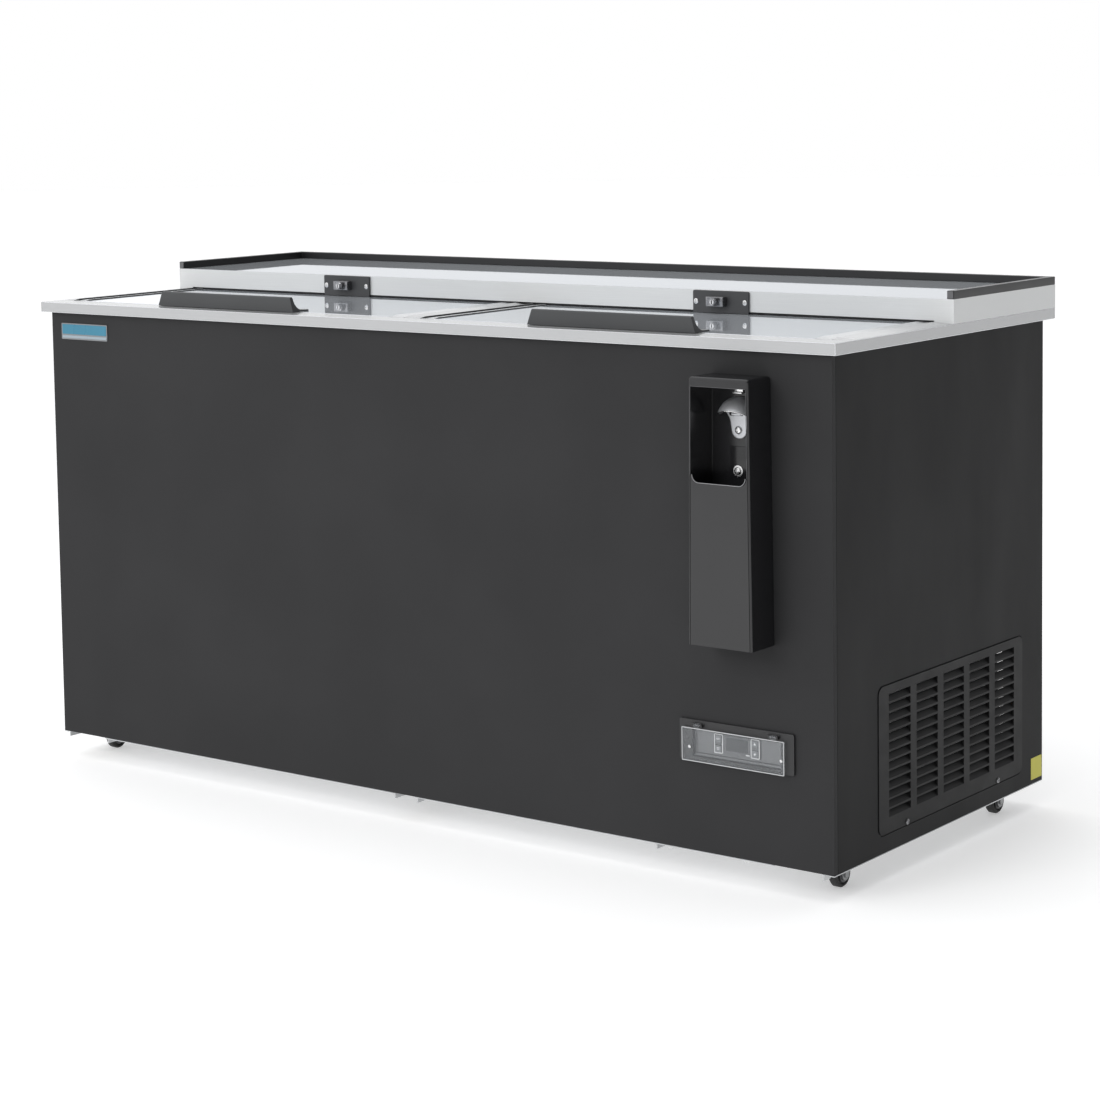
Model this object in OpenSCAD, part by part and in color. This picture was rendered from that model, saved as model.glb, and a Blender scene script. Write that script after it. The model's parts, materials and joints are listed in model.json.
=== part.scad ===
// Chest bottle cooler with two sliding lids, a rear housing and casters.
// Origin at the floor under the centre of the whole machine; +X right, +Y to the rear, +Z up.

/* [Cabinet] */
// Width across the worktop
top_w = 1650; // [1600:5:1700]
// Depth of the black body
body_d = 665; // [655:1:690]
// Height of the black body
body_h = 766; // [750:1:790]
// Overhang of the worktop past the body's front and sides
overhang = 13.5; // [12:0.5:16]
// Gap behind the body, covered by the worktop
rear_gap = 17; // [16:1:24]
// Gap between the floor and the body
clearance = 42; // [42:1:44]
// Thickness of the foam walls
foam_t = 45; // [42:1:46]
// Height of the machine bay's inside
bay_h = 271; // [267:1:290]

/* [Worktop and rear housing] */
// Depth of the worktop's edge
worktop_t = 18; // [16:1:22]
// Height of the rear housing above the worktop
housing_h = 38; // [36:1:44]
// Depth of the rear housing
housing_d = 344; // [340:1:348]
// Height of the guard rail
rail_h = 13; // [10:1:18]
// Thickness of the guard rail
rail_t = 12; // [10:1:16]

/* [Lids] */
// Length of a lid, front to back
lid_len = 327; // [320:1:330]
// Distance from the body's front to a lid's front edge
lid_front = 34; // [33:0.5:36]
// Depth of a lid's edge
lid_t = 34; // [32:0.5:34]
// Length of a lid handle at its foot
handle_len = 316; // [280:1:360]
// Height of a lid handle
handle_h = 25; // [22:1:28]
// Width of the strip between the lids
divider_w = 36; // [34:1:40]
// Width of a lid track's visible strip
track_w = 28; // [26:1:30]

/* [Front fittings] */
// Height of the cap catcher
catcher_h = 398; // [380:1:410]
// Depth of the cap catcher
catcher_d = 62; // [58:1:70]
// Width of the cap catcher at its top
catcher_w = 103; // [100:1:110]
// Length of the control bezel
bezel_w = 202; // [200:1:210]
// Height of the control bezel
bezel_h = 61.5; // [60:0.5:66]

/* [Casters] */
// Diameter of a caster wheel
wheel_d = 42; // [41:0.5:42]
// Width of a caster wheel
wheel_w = 16; // [15:0.5:16]
// Offset of the wheel's axle from its swivel pin
swivel_offset = 16; // [15:0.5:16]

/* [Hidden] */

sheet = 1.5;
seam = 0.3;
eps = 1;
black = [0.22, 0.22, 0.225];
stainless = [0.78, 0.79, 0.79];
galvanised = [0.66, 0.68, 0.69];
charcoal = [0.28, 0.28, 0.29];
foam_yellow = [0.86, 0.78, 0.55];
white_plastic = [0.9, 0.9, 0.88];
dark_plastic = [0.1, 0.1, 0.11];

// Main planes of the cabinet
body_w = top_w - 2 * overhang;
x_body = body_w / 2;
x_top = top_w / 2;
y_catch = -(catcher_d + body_d + rear_gap) / 2;
y_front = y_catch + catcher_d;
y_back = y_front + body_d;
y_top_front = y_front - overhang;
y_top_back = y_back + rear_gap;
z_body = clearance;
z_under = z_body + body_h;
z_top = z_under + worktop_t;
z_housing = z_top + housing_h;
y_wall = y_top_back - housing_d;

// Base
tray_t = 1.5;
flange_drop = 9.5;
channel_rise = 18;
channel_t = 2;
caster_channel_x = x_body - 56.5;
caster_channel_w = 100;
centre_channel_x = -7;
centre_channel_w = 50;
bay_x = 494;

// Tub and the band that the lids slide in
lid_band = 38;
z_rim = z_top - lid_band;
y_mouth = y_front + lid_front - eps;
y_band_end = y_mouth + 602;
x_mouth = x_top - 34;
tub_x = x_body - sheet - foam_t;
tub_front = y_front + sheet + foam_t;
tub_back = y_back - sheet - foam_t;
z_floor = z_body + tray_t + 55;
z_shelf = z_body + tray_t + bay_h + foam_t;
x_step = bay_x - foam_t;
ledge = 44;
drain_x = -600;

// Lids
x_divider = divider_w / 2;
lid_x1 = x_divider + track_w + 0.5;
lid_x2 = x_mouth - track_w - 0.5;
lid_w = lid_x2 - lid_x1;
lid_xc = (lid_x1 + lid_x2) / 2;
lid_y = y_front + lid_front;
z_lid = z_top + 0.5;
housing_slot = 4;
lock_x = 402;
lock_z = z_top + 20;
lock_shift = -4.5;
lock_screw = 47;
plate_front = y_wall - 4;
lock_front = plate_front - 12;

// Front fittings
catch_x = 656;
catch_z = z_under - 36 - catcher_h;
catch_wall = 3;
recess_z = catch_z + 242;
catch_flare = 4;
ctrl_x = 645;
ctrl_z = z_body + 142;
ctrl_half = 80;
ctrl_low = 3;
ctrl_high = 49;
ctrl_mid = ctrl_z + 26;
ctrl_inner = 20.5;
cover_left = 94;
cover_w = 181;
cover_h = 50;
hinge_y = y_front - 7.5;
hinge_z = ctrl_z + 54.5;
hook_xs = [-67, 67];
keypad_x = -2;
keypad_z = ctrl_z + 31.5;

// Side grille
grille_y = y_front + 360;
grille_z = z_body + 143;
grille_w = 464;
grille_h = 226;
slot_cols = 5;
slot_rows = 13;
slot_pitch_y = 84.6;
slot_pitch_z = 14.7;
slot_len = 66;
slot_h = 11.6;
slot_gap = 3.2;
blade_depth = 6;
grille_out = 1;
grille_gap = 1.8;
grille_screw_y = 147;
grille_screw_z = -108.5;

// Evaporator
cover_x = 700;
evap_fan_y = 22;
evap_fan_z = z_shelf + 150;
guard_r = 48;

// Casters
caster_x = x_body - 43.5;
caster_ys = [y_front + 87, y_back - 84];
crown_z = z_body + channel_rise - 11;
wheel_z = wheel_d / 2;

// Machine bay
comp_x = bay_x + 101;
comp_y = y_back - 140;
comp_r = 78;
inlet_x = x_body - 35.5;
inlet_z = z_body + 66;
fan_y = y_front + 190;
fan_z = z_body + 143;
fan_x = 700;
coil_x = 738;

// A plate in the XZ plane with round corners, its front face at y = 0
module round_plate(w, h, t, r) {
    rotate([90, 0, 0])
        translate([0, 0, -t])
            linear_extrude(t)
                round_shape(w, h, r);
}

// A rectangle with round corners, centred
module round_shape(w, h, r) {
    square([w - 2 * r, h], center = true);
    square([w, h - 2 * r], center = true);
    for (sx = [-1, 1], sz = [-1, 1])
        translate([sx * (w / 2 - r), sz * (h / 2 - r)])
            circle(r, $fn = 32);
}

// A box given by its low and high corners
module box(low, high) {
    translate(low)
        cube(high - low);
}

// A cylinder along +Y from y1 to y2
module rod_y(x, z, y1, y2, r, fn = 48) {
    translate([x, y1, z])
        rotate([-90, 0, 0])
            cylinder(r = r, h = y2 - y1, $fn = fn);
}

// A cylinder along +X from x1 to x2
module rod_x(y, z, x1, x2, r, fn = 48) {
    translate([x1, y, z])
        rotate([0, 90, 0])
            cylinder(r = r, h = x2 - x1, $fn = fn);
}

// A round tube through a list of points, with ball joints at the bends
module tube_path(points, r) {
    for (i = [0:len(points) - 2]) {
        step = points[i + 1] - points[i];
        translate(points[i])
            rotate([0, acos(step[2] / norm(step)), atan2(step[1], step[0])])
                cylinder(r = r, h = norm(step), $fn = 24);
    }
    for (i = [1:len(points) - 2])
        translate(points[i])
            sphere(r, $fn = 24);
}

// ---- Base ----

// A channel pressed up into the base, with or without flanges that hang below it
module channel_block(xc, w, drop = 0) {
    box([xc - w / 2, y_front + 6, z_body - drop],
        [xc + w / 2, y_back - 6, z_body + channel_rise + channel_t]);
}

module channel_gap(xc, w) {
    box([xc - w / 2 + channel_t, y_front, z_body - flange_drop - eps],
        [xc + w / 2 - channel_t, y_back, z_body + channel_rise]);
}

module base_frame() {
    color(galvanised)
        union() {
            difference() {
                union() {
                    box([-x_body, y_front, z_body], [x_body, y_back, z_body + tray_t]);
                    channel_block(-caster_channel_x, caster_channel_w, flange_drop);
                    channel_block(caster_channel_x, caster_channel_w);
                    channel_block(centre_channel_x, centre_channel_w, flange_drop);
                    box([bay_x - channel_t, y_front + 6, z_body - flange_drop],
                        [bay_x, y_back - 6, z_body + tray_t]);
                }
                for (s = [-1, 1])
                    channel_gap(s * caster_channel_x, caster_channel_w);
                channel_gap(centre_channel_x, centre_channel_w);
            }
            corner_bracket();
        }
}

// A short lug under the base, just behind its front right corner
module corner_bracket() {
    x = x_body - 22;
    lug_len = 18;
    box([x, y_front + 4, z_body - flange_drop], [x + channel_t, y_front + 4 + lug_len, z_body + tray_t]);
    box([x, y_front + 4, z_body], [x_body - 2, y_front + 4 + lug_len, z_body + tray_t]);
}

module base_bolts() {
    head_t = 4.5;
    washer_t = 1.5;
    color(galvanised)
        for (x = [bay_x + 22, bay_x + 160], y = [y_front + 16, y_back - 16])
            translate([x, y, z_body - washer_t - head_t])
                union() {
                    cylinder(r = 7.5, h = head_t, $fn = 6);
                    translate([0, 0, head_t])
                        cylinder(r = 9, h = washer_t, $fn = 32);
                }
}

// ---- Outer panels ----

module front_panel() {
    z_low = z_body + tray_t;
    return_d = 10;
    color(black)
        difference() {
            union() {
                box([-x_body, y_front, z_low], [x_body, y_front + sheet, z_under]);
                for (s = [-1, 1])
                    translate([s * (x_body - sheet / 2), y_front + return_d / 2, (z_low + z_under) / 2])
                        cube([sheet, return_d, z_under - z_low], center = true);
            }
            box([ctrl_x - ctrl_half, y_front - eps, ctrl_z + ctrl_low],
                [ctrl_x + ctrl_half, y_front + 4, ctrl_z + ctrl_high]);
        }
}

module left_panel() {
    color(black)
        box([-x_body, y_front + 10 + seam, z_body + tray_t], [sheet - x_body, y_back, z_under]);
}

module right_panel() {
    color(black)
        difference() {
            box([x_body - sheet, y_front + 10 + seam, z_body + tray_t], [x_body, y_back, z_under]);
            grille_plate(-sheet - eps, eps, grille_gap);
        }
}

module rear_panel() {
    vent_pitch_x = 80;
    vent_pitch_z = 15;
    vent_len = 64;
    vent_h = 5;
    color(black)
        difference() {
            box([sheet - x_body, y_back - sheet, z_body + tray_t], [x_body - sheet, y_back, z_under]);
            for (col = [0:2], row = [0:11])
                translate([bay_x + 31 + vent_pitch_x * col, y_back - 4, z_body + 68 + vent_pitch_z * row])
                    cube([vent_len, 4 + eps, vent_h]);
            translate([inlet_x, y_back, inlet_z])
                cube([24, 8, 32], center = true);
        }
}

// ---- Insulated tub ----

module tub_space(grow, top) {
    box([-tub_x - grow, tub_front - grow, z_floor - grow], [x_step + grow, tub_back + grow, top]);
    box([-tub_x - grow, tub_front - grow, z_shelf - grow], [tub_x + grow, tub_back + grow, top]);
}

// The tub's drain, through its floor and the foam
module drain(r) {
    translate([drain_x, 0, z_body])
        cylinder(r = r, h = z_floor, $fn = 48);
}

module foam_insulation() {
    color(foam_yellow)
        difference() {
            box([sheet - x_body, y_front + sheet, z_body + tray_t],
                [x_body - sheet, y_back - sheet, z_top - sheet]);
            tub_space(sheet, z_top);
            box([-x_mouth - sheet, y_mouth - sheet, z_rim - sheet],
                [x_mouth + sheet, y_band_end + sheet, z_top]);
            box([bay_x, y_front, z_body], [x_body, y_back, z_body + tray_t + bay_h]);
            for (s = [-1, 1])
                channel_block(s * caster_channel_x, caster_channel_w);
            channel_block(centre_channel_x, centre_channel_w);
            drain(12);
        }
}

module tub_liner() {
    color(galvanised)
        difference() {
            union() {
                tub_space(sheet, z_rim);
                box([-x_mouth - sheet, y_mouth - sheet, z_rim - sheet],
                    [x_mouth + sheet, y_band_end + sheet, z_rim]);
            }
            tub_space(0, z_top);
            drain(11);
        }
}

// ---- Worktop, divider and tracks ----

module worktop() {
    color(stainless)
        difference() {
            union() {
                difference() {
                    box([-x_top, y_top_front, z_under], [x_top, y_top_back, z_top]);
                    box([sheet - x_top, y_top_front + sheet, z_under + sheet],
                        [x_top - sheet, y_top_back - sheet, z_top - sheet]);
                    box([sheet - x_body, y_front + sheet, z_under - eps],
                        [x_body - sheet, y_back - sheet, z_under + 4]);
                }
                box([-x_mouth - sheet, y_mouth - sheet, z_rim],
                    [x_mouth + sheet, y_band_end + sheet, z_top - sheet / 2]);
            }
            box([-x_mouth, y_mouth, z_rim - eps], [x_mouth, y_band_end, z_top + eps]);
        }
}

module lid_divider() {
    y1 = y_mouth + seam;
    y2 = y_band_end - seam;
    x_up = x_divider - seam;
    x_beam = x_divider + ledge;
    color(stainless)
        difference() {
            union() {
                box([-x_up, y1, z_rim - sheet], [x_up, y2, z_top]);
                box([-x_beam, tub_front + seam, z_rim - 40], [x_beam, tub_back - seam, z_rim]);
            }
            box([sheet - x_up, y1 + sheet, z_rim + sheet], [x_up - sheet, y2 - sheet, z_top - sheet]);
            box([sheet - x_beam, tub_front, z_rim + sheet - 40], [x_beam - sheet, tub_back, z_rim - sheet]);
            box([-x_top, y_front, z_rim - sheet - eps], [x_top, tub_front + seam, z_rim]);
            box([-x_top, tub_back - seam, z_rim - sheet - eps], [x_top, y_back, z_rim]);
        }
}

// A lid track's section: a top strip, a web and the ledge that the glides run on
module track_section() {
    polygon([
        [0, 0], [ledge - 1, 0], [ledge - 1, 2.5], [5, 2.5], [5, lid_band - 2.5],
        [track_w - 1, lid_band - 2.5], [track_w - 1, lid_band], [0, lid_band]
    ]);
}

module track(x, side) {
    translate([x, y_band_end - seam, z_rim])
        rotate([90, 0, 0])
            linear_extrude(y_band_end - y_mouth - 2 * seam)
                mirror([side > 0 ? 0 : 1, 0])
                    track_section();
}

module lid_tracks() {
    color([0.7, 0.71, 0.72])
        for (s = [-1, 1]) {
            track(s * (x_divider + seam), s);
            track(s * (x_mouth - seam), -s);
        }
}

module lid_seals() {
    color(dark_plastic)
        for (s = [-1, 1]) {
            x1 = min(s * (lid_x1 + 18), s * (lid_x2 - 18));
            box([x1, y_mouth + 1, z_rim], [x1 + lid_w - 36, y_mouth + 12, z_rim + 3.6]);
            x2 = min(s * (x_divider + 2), s * (x_mouth - 2));
            box([x2, y_wall + sheet, z_top + 1.2],
                [x2 + x_mouth - x_divider - 4, y_wall + sheet + 2, z_top + housing_slot + 3]);
        }
}

// ---- Rear housing ----

module lock_pocket(s, y1, y2, w, h) {
    translate([s * lock_x + lock_shift, (y1 + y2) / 2, lock_z])
        cube([w, y2 - y1, h], center = true);
}

module rear_housing() {
    color(stainless)
        difference() {
            box([-x_top, y_wall, z_top], [x_top, y_top_back, z_housing]);
            box([sheet - x_top, y_wall + sheet, z_top - eps],
                [x_top - sheet, y_top_back - sheet, z_housing - sheet]);
            box([-x_mouth, y_wall - eps, z_top - eps], [x_mouth, y_wall + 2 * sheet, z_top + housing_slot]);
            for (s = [-1, 1])
                rod_y(s * lock_x + lock_shift, lock_z, y_wall - eps, y_wall + 2 * sheet, 6.5);
        }
}

module housing_core() {
    color(white_plastic)
        difference() {
            box([sheet - x_top + seam, y_wall + sheet, z_top + housing_slot + 0.5],
                [x_top - sheet - seam, y_top_back - sheet - seam, z_housing - sheet]);
            for (s = [-1, 1])
                lock_pocket(s, y_wall, y_wall + 50, 44, 26);
            box([-x_mouth - 2, y_wall, z_top],
                [x_mouth + 2, y_wall + 2 * sheet + 1, z_top + housing_slot + 3]);
        }
}

module guard_rail() {
    color(black)
        union() {
            box([-x_top, y_top_back - rail_t, z_housing], [x_top, y_top_back, z_housing + rail_h]);
            box([-x_top, y_wall, z_housing], [rail_t - x_top, y_top_back, z_housing + rail_h]);
            box([x_top - rail_t, y_wall, z_housing], [x_top, y_top_back, z_housing + rail_h]);
        }
}

// The cover plate of a lock, with the square lock body on its face
module lock_plate(s) {
    difference() {
        union() {
            translate([s * lock_x, plate_front, z_top + 19])
                round_plate(107, 36, y_wall - plate_front, 2.5);
            translate([s * lock_x + lock_shift, lock_front, lock_z])
                round_plate(33, 15.5, plate_front - lock_front + 0.5, 2);
        }
        rod_y(s * lock_x + lock_shift, lock_z, lock_front - eps, y_wall + eps, 6.05);
        for (d = [-lock_screw, lock_screw])
            rod_y(s * lock_x + d, lock_z, plate_front - eps, y_wall + eps, 2.3);
    }
}

module lock_plates() {
    color(charcoal)
        for (s = [-1, 1])
            lock_plate(s);
}

// The lock plates' and the side grille's pan-head screws
module panel_screws() {
    color(stainless)
        for (s = [-1, 1]) {
            for (d = [-lock_screw, lock_screw]) {
                rod_y(s * lock_x + d, lock_z, plate_front - 2, plate_front, 4.5);
                rod_y(s * lock_x + d, lock_z, plate_front - 0.5, y_wall, 2.2);
            }
            rod_x(grille_y + s * grille_screw_y, grille_z + grille_screw_z, x_body + grille_out,
                x_body + grille_out + 2, 4.5);
            rod_x(grille_y + s * grille_screw_y, grille_z + grille_screw_z, x_body - sheet,
                x_body + grille_out + 0.5, 2.2);
        }
}

module lock_plunger(s) {
    color([0.85, 0.85, 0.86])
        union() {
            rod_y(s * lock_x + lock_shift, lock_z, lock_front - 8, y_wall + 8, 6);
            rod_y(s * lock_x + lock_shift, lock_z, y_wall + 8, y_wall + 14, 4);
        }
}

module lock_plunger_left() {
    lock_plunger(-1);
}

module lock_plunger_right() {
    lock_plunger(1);
}

// ---- Lids ----

module lid_skin(s) {
    x1 = min(s * lid_x1, s * lid_x2);
    color([0.82, 0.83, 0.84])
        difference() {
            box([x1, lid_y, z_lid - lid_t], [x1 + lid_w, lid_y + lid_len, z_lid]);
            box([x1 + sheet, lid_y + sheet, z_lid - lid_t - eps],
                [x1 + lid_w - sheet, lid_y + lid_len - sheet, z_lid - sheet]);
        }
}

module lid_core(s) {
    x1 = min(s * lid_x1, s * lid_x2);
    color(white_plastic)
        box([x1 + sheet, lid_y + sheet, z_lid - lid_t],
            [x1 + lid_w - sheet, lid_y + lid_len - sheet, z_lid - sheet]);
}

module lid_glides(s) {
    color([0.88, 0.87, 0.8])
        for (x = [lid_x1 + 8, lid_x2 - 8], y = [lid_y + 45, lid_y + lid_len - 45])
            translate([s * x, y, z_lid - lid_t - 0.85])
                cube([11, 60, 1.7], center = true);
}

// The handle's end profile: an upright front, a hollow back and a foot that runs back
module handle_profile() {
    curve = [for (a = [0:6:90]) [8.5 + 15 * (1 - cos(a)), 3 + (handle_h - 8) * (1 - sin(a))]];
    polygon(concat(
        [[0, 0], [1.5, handle_h - 2], [3, handle_h], [6.5, handle_h], [8.5, handle_h - 2]],
        curve,
        [[40, 2.5], [40, 0]]
    ));
}

module lid_handle(s) {
    slope = 8;
    color(charcoal)
        translate([s * lid_xc, lid_y - 14, z_lid])
            difference() {
                translate([-handle_len / 2, 0, 0])
                    rotate([90, 0, 90])
                        linear_extrude(handle_len)
                            handle_profile();
                for (m = [0, 1])
                    mirror([m, 0, 0])
                        translate([handle_len / 2, -eps, 0])
                            rotate([0, -atan2(slope, handle_h), 0])
                                translate([0, 0, -20])
                                    cube([30, 50, 80]);
            }
}

module lid_skin_left() {
    lid_skin(-1);
}

module lid_skin_right() {
    lid_skin(1);
}

module lid_core_left() {
    lid_core(-1);
}

module lid_core_right() {
    lid_core(1);
}

module lid_handle_left() {
    lid_handle(-1);
}

module lid_handle_right() {
    lid_handle(1);
}

module lid_glides_left() {
    lid_glides(-1);
}

module lid_glides_right() {
    lid_glides(1);
}

// ---- Side grille ----

// The grille's outline as a plate between two depths from the side's face
module grille_plate(x1, x2, grow) {
    translate([x_body + x1, grille_y, grille_z])
        rotate([90, 0, 90])
            linear_extrude(x2 - x1)
                round_shape(grille_w + 2 * grow, grille_h + 2 * grow, 13 + grow);
}

// The top of each cell, at the middle of its length
module grille_cells() {
    for (col = [0:slot_cols - 1], row = [0:slot_rows - 1])
        translate([
            x_body + grille_out,
            grille_y + (col - (slot_cols - 1) / 2) * slot_pitch_y,
            grille_z + 5 + slot_h / 2 + (row - (slot_rows - 1) / 2) * slot_pitch_z
        ])
            children();
}

// A blade that slopes in and up from the foot of its cell
module grille_blade() {
    translate([0, slot_len / 2 + 1, 0])
        rotate([90, 0, 0])
            linear_extrude(slot_len + 2)
                polygon([
                    [0, -slot_h], [-blade_depth, -slot_gap], [-blade_depth - 1, -slot_gap - 1.3],
                    [-1.8, -slot_h - 1], [-0.5, -slot_h - 1]
                ]);
}

// Walls at both ends of every column of cells
module grille_ribs() {
    rib_h = slot_rows * slot_pitch_z + 2;
    for (col = [0:slot_cols - 1], side = [-1, 1])
        translate([
            x_body + grille_out - (blade_depth + 1) / 2 - 0.5,
            grille_y + (col - (slot_cols - 1) / 2) * slot_pitch_y + side * (slot_len + 1.5) / 2,
            grille_z + 4
        ])
            cube([blade_depth + 1, 1.5, rib_h], center = true);
}

module side_grille() {
    flange = 8;
    color(black)
        difference() {
            union() {
                difference() {
                    union() {
                        grille_plate(-sheet - 1.5, grille_out, 0);
                        grille_plate(-sheet - 1.5, -sheet, flange);
                    }
                    grille_cells()
                        translate([-blade_depth, -slot_len / 2, -slot_h])
                            cube([2 * blade_depth, slot_len, slot_h]);
                }
                grille_cells()
                    grille_blade();
                grille_ribs();
            }
            for (s = [-1, 1])
                rod_x(grille_y + s * grille_screw_y, grille_z + grille_screw_z, x_body - 6, x_body + 4, 2.3);
        }
}

// ---- Control panel ----

module control_bezel() {
    color(dark_plastic)
        difference() {
            union() {
                translate([ctrl_x, y_front - 4, ctrl_z + bezel_h / 2])
                    round_plate(bezel_w, bezel_h, 4, 3);
                box([ctrl_x - ctrl_half + seam, y_front - 1, ctrl_z + ctrl_low + seam],
                    [ctrl_x + ctrl_half - seam, y_front + 22, ctrl_z + ctrl_high - seam]);
                for (x = hook_xs, d = [-7.5, 7.5])
                    translate([ctrl_x + x + d, (hinge_y + y_front - 4) / 2 + 0.2, hinge_z])
                        cube([3, y_front - 4 - hinge_y + 4, 5], center = true);
                for (x = hook_xs)
                    rod_x(hinge_y, hinge_z, ctrl_x + x - 7, ctrl_x + x + 7, 1.5);
            }
            box([ctrl_x - ctrl_half + 2, y_front - 5, ctrl_mid - ctrl_inner],
                [ctrl_x + ctrl_half - 2, y_front + 20, ctrl_mid + ctrl_inner]);
        }
}

module control_plate() {
    color([0.42, 0.43, 0.44])
        difference() {
            box([ctrl_x - ctrl_half + 2, y_front + 2.5, ctrl_mid - ctrl_inner],
                [ctrl_x + ctrl_half - 2, y_front + 4, ctrl_mid + ctrl_inner]);
            box([ctrl_x + keypad_x - 42, y_front, keypad_z - 17],
                [ctrl_x + keypad_x + 42, y_front + 5, keypad_z + 13]);
        }
}

// The places of the controller's four keys
module at_key(sx, sz) {
    translate([ctrl_x + keypad_x + sx * 32.5, y_front + 1, keypad_z - 2 + sz * 7.5])
        children();
}

module temperature_controller() {
    color([0.36, 0.37, 0.38])
        difference() {
            union() {
                box([ctrl_x + keypad_x - 41.5, y_front + 1, keypad_z - 16.5],
                    [ctrl_x + keypad_x + 41.5, y_front + 6, keypad_z + 12.5]);
                box([ctrl_x + keypad_x - 41.5, y_front + 4, keypad_z - 16.5],
                    [ctrl_x + keypad_x + 41.5, y_front + 19, keypad_z + 12.5]);
            }
            for (sx = [-1, 1], sz = [-1, 1])
                at_key(sx, sz)
                    cube([11, 6.4, 11], center = true);
        }
}

module control_key(sx, sz) {
    color([0.5, 0.51, 0.52])
        at_key(sx, sz)
            cube([10.2, 2.4, 10.2], center = true);
}

module key_up() {
    control_key(1, 1);
}

module key_down() {
    control_key(1, -1);
}

module key_set() {
    control_key(-1, 1);
}

module key_light() {
    control_key(-1, -1);
}

module control_cover() {
    y1 = hinge_y - 1.5;
    color([0.55, 0.57, 0.59, 0.5])
        difference() {
            union() {
                box([ctrl_x - cover_left, y1, ctrl_z - 1],
                    [ctrl_x - cover_left + cover_w, y1 + 2, ctrl_z + cover_h]);
                for (x = hook_xs) {
                    rod_x(hinge_y, hinge_z, ctrl_x + x - 5.4, ctrl_x + x + 5.4, 3.2);
                    box([ctrl_x + x - 5.4, y1, ctrl_z + cover_h - 4], [ctrl_x + x + 5.4, y1 + 2, hinge_z]);
                }
            }
            for (x = hook_xs) {
                rod_x(hinge_y, hinge_z, ctrl_x + x - 8, ctrl_x + x + 8, 1.55);
                for (d = [-7.5, 7.5])
                    translate([ctrl_x + x + d, hinge_y, hinge_z - 1.5])
                        cube([4, 14, 12], center = true);
            }
        }
}

// ---- Cap catcher ----

// Front outline of the catcher, wider at the foot, shrunk by "inset" at both sides
module catcher_shape(low, high, inset) {
    lean = catch_flare / catcher_h;
    w_low = catcher_w / 2 + (catcher_h - low) * lean - inset;
    w_high = catcher_w / 2 + (catcher_h - high) * lean - inset;
    polygon([[-w_low, low], [w_low, low], [w_high, high], [-w_high, high]]);
}

module catcher_slab(y1, y2, low, high, inset) {
    translate([catch_x, y2, catch_z])
        rotate([90, 0, 0])
            linear_extrude(y2 - y1)
                catcher_shape(low, high, inset);
}

module catcher_housing() {
    recess = recess_z - catch_z;
    color([0.16, 0.16, 0.17])
        difference() {
            catcher_slab(y_catch, y_front, 0, catcher_h, 0);
            catcher_slab(y_catch - eps, y_front - catch_wall, catch_wall, catcher_h - 14, catch_wall);
            catcher_slab(y_catch - eps, y_catch + 4, -eps, recess + 12, catch_wall);
        }
}

module catcher_bin() {
    recess = recess_z - catch_z;
    w = catcher_w - 2 * catch_wall - 2;
    color([0.17, 0.17, 0.18])
        difference() {
            union() {
                catcher_slab(y_catch, y_catch + 2.5, 0, recess + 11.5, catch_wall + 0.5);
                catcher_slab(y_catch + 2, y_front - catch_wall - 1, catch_wall + 0.6, recess - 12,
                    catch_wall + 0.6);
            }
            catcher_slab(y_catch + 2.5, y_front - catch_wall - 3, catch_wall + 2.6, recess, catch_wall + 2.6);
            translate([catch_x, y_catch + 1, recess_z + 20])
                cube([w - 24, 8, 40], center = true);
            translate([catch_x, y_catch + 1, recess_z + 32])
                cube([w + 8, 8, 40], center = true);
            for (s = [-1, 1])
                rod_y(catch_x + s * (w / 2 - 12), recess_z + 12, y_catch - eps, y_catch + 5, 12);
        }
}

// A cast wall opener: a base with a round foot, a domed hood over the cap, a tooth, and its screws
module bottle_opener() {
    yb = y_front - catch_wall;
    lip_z = recess_z + 105;
    foot_z = lip_z - 31;
    dome_r = 34;
    dome_drop = 15;
    wall_t = 3;
    color([0.75, 0.75, 0.76])
        union() {
            translate([catch_x, yb, 0])
                rotate([90, 0, 0])
                    linear_extrude(wall_t)
                        hull() {
                            translate([0, foot_z])
                                circle(13, $fn = 32);
                            translate([0, lip_z])
                                circle(18, $fn = 32);
                        }
            difference() {
                translate([catch_x, yb, lip_z - dome_drop])
                    sphere(dome_r, $fn = 64);
                translate([catch_x, yb, lip_z - dome_drop])
                    sphere(dome_r - wall_t, $fn = 64);
                box([catch_x - 50, yb - 50, lip_z - 60], [catch_x + 50, yb + 50, lip_z - 8]);
                box([catch_x - 50, yb, lip_z - 60], [catch_x + 50, yb + 50, lip_z + 60]);
                rod_y(catch_x, lip_z - 55, yb - 60, yb - wall_t, 55, 96);
            }
            box([catch_x - 6, yb - 12, lip_z - 9], [catch_x + 6, yb - 1, lip_z - 5]);
            rod_y(catch_x, foot_z, yb - 5.5, yb - 2, 5);
            rod_y(catch_x - 3, recess_z + 13, yb - 4, yb, 8.5);
            box([catch_x - 8, yb - 7, recess_z + 134], [catch_x + 8, yb, recess_z + 142]);
        }
}

module badge_plate() {
    color([0.5, 0.51, 0.52])
        translate([-x_body + 83.5, y_front - 1.5, z_under - 33.5])
            round_plate(116, 29, 1.5, 2);
}

// ---- Refrigeration ----

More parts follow.
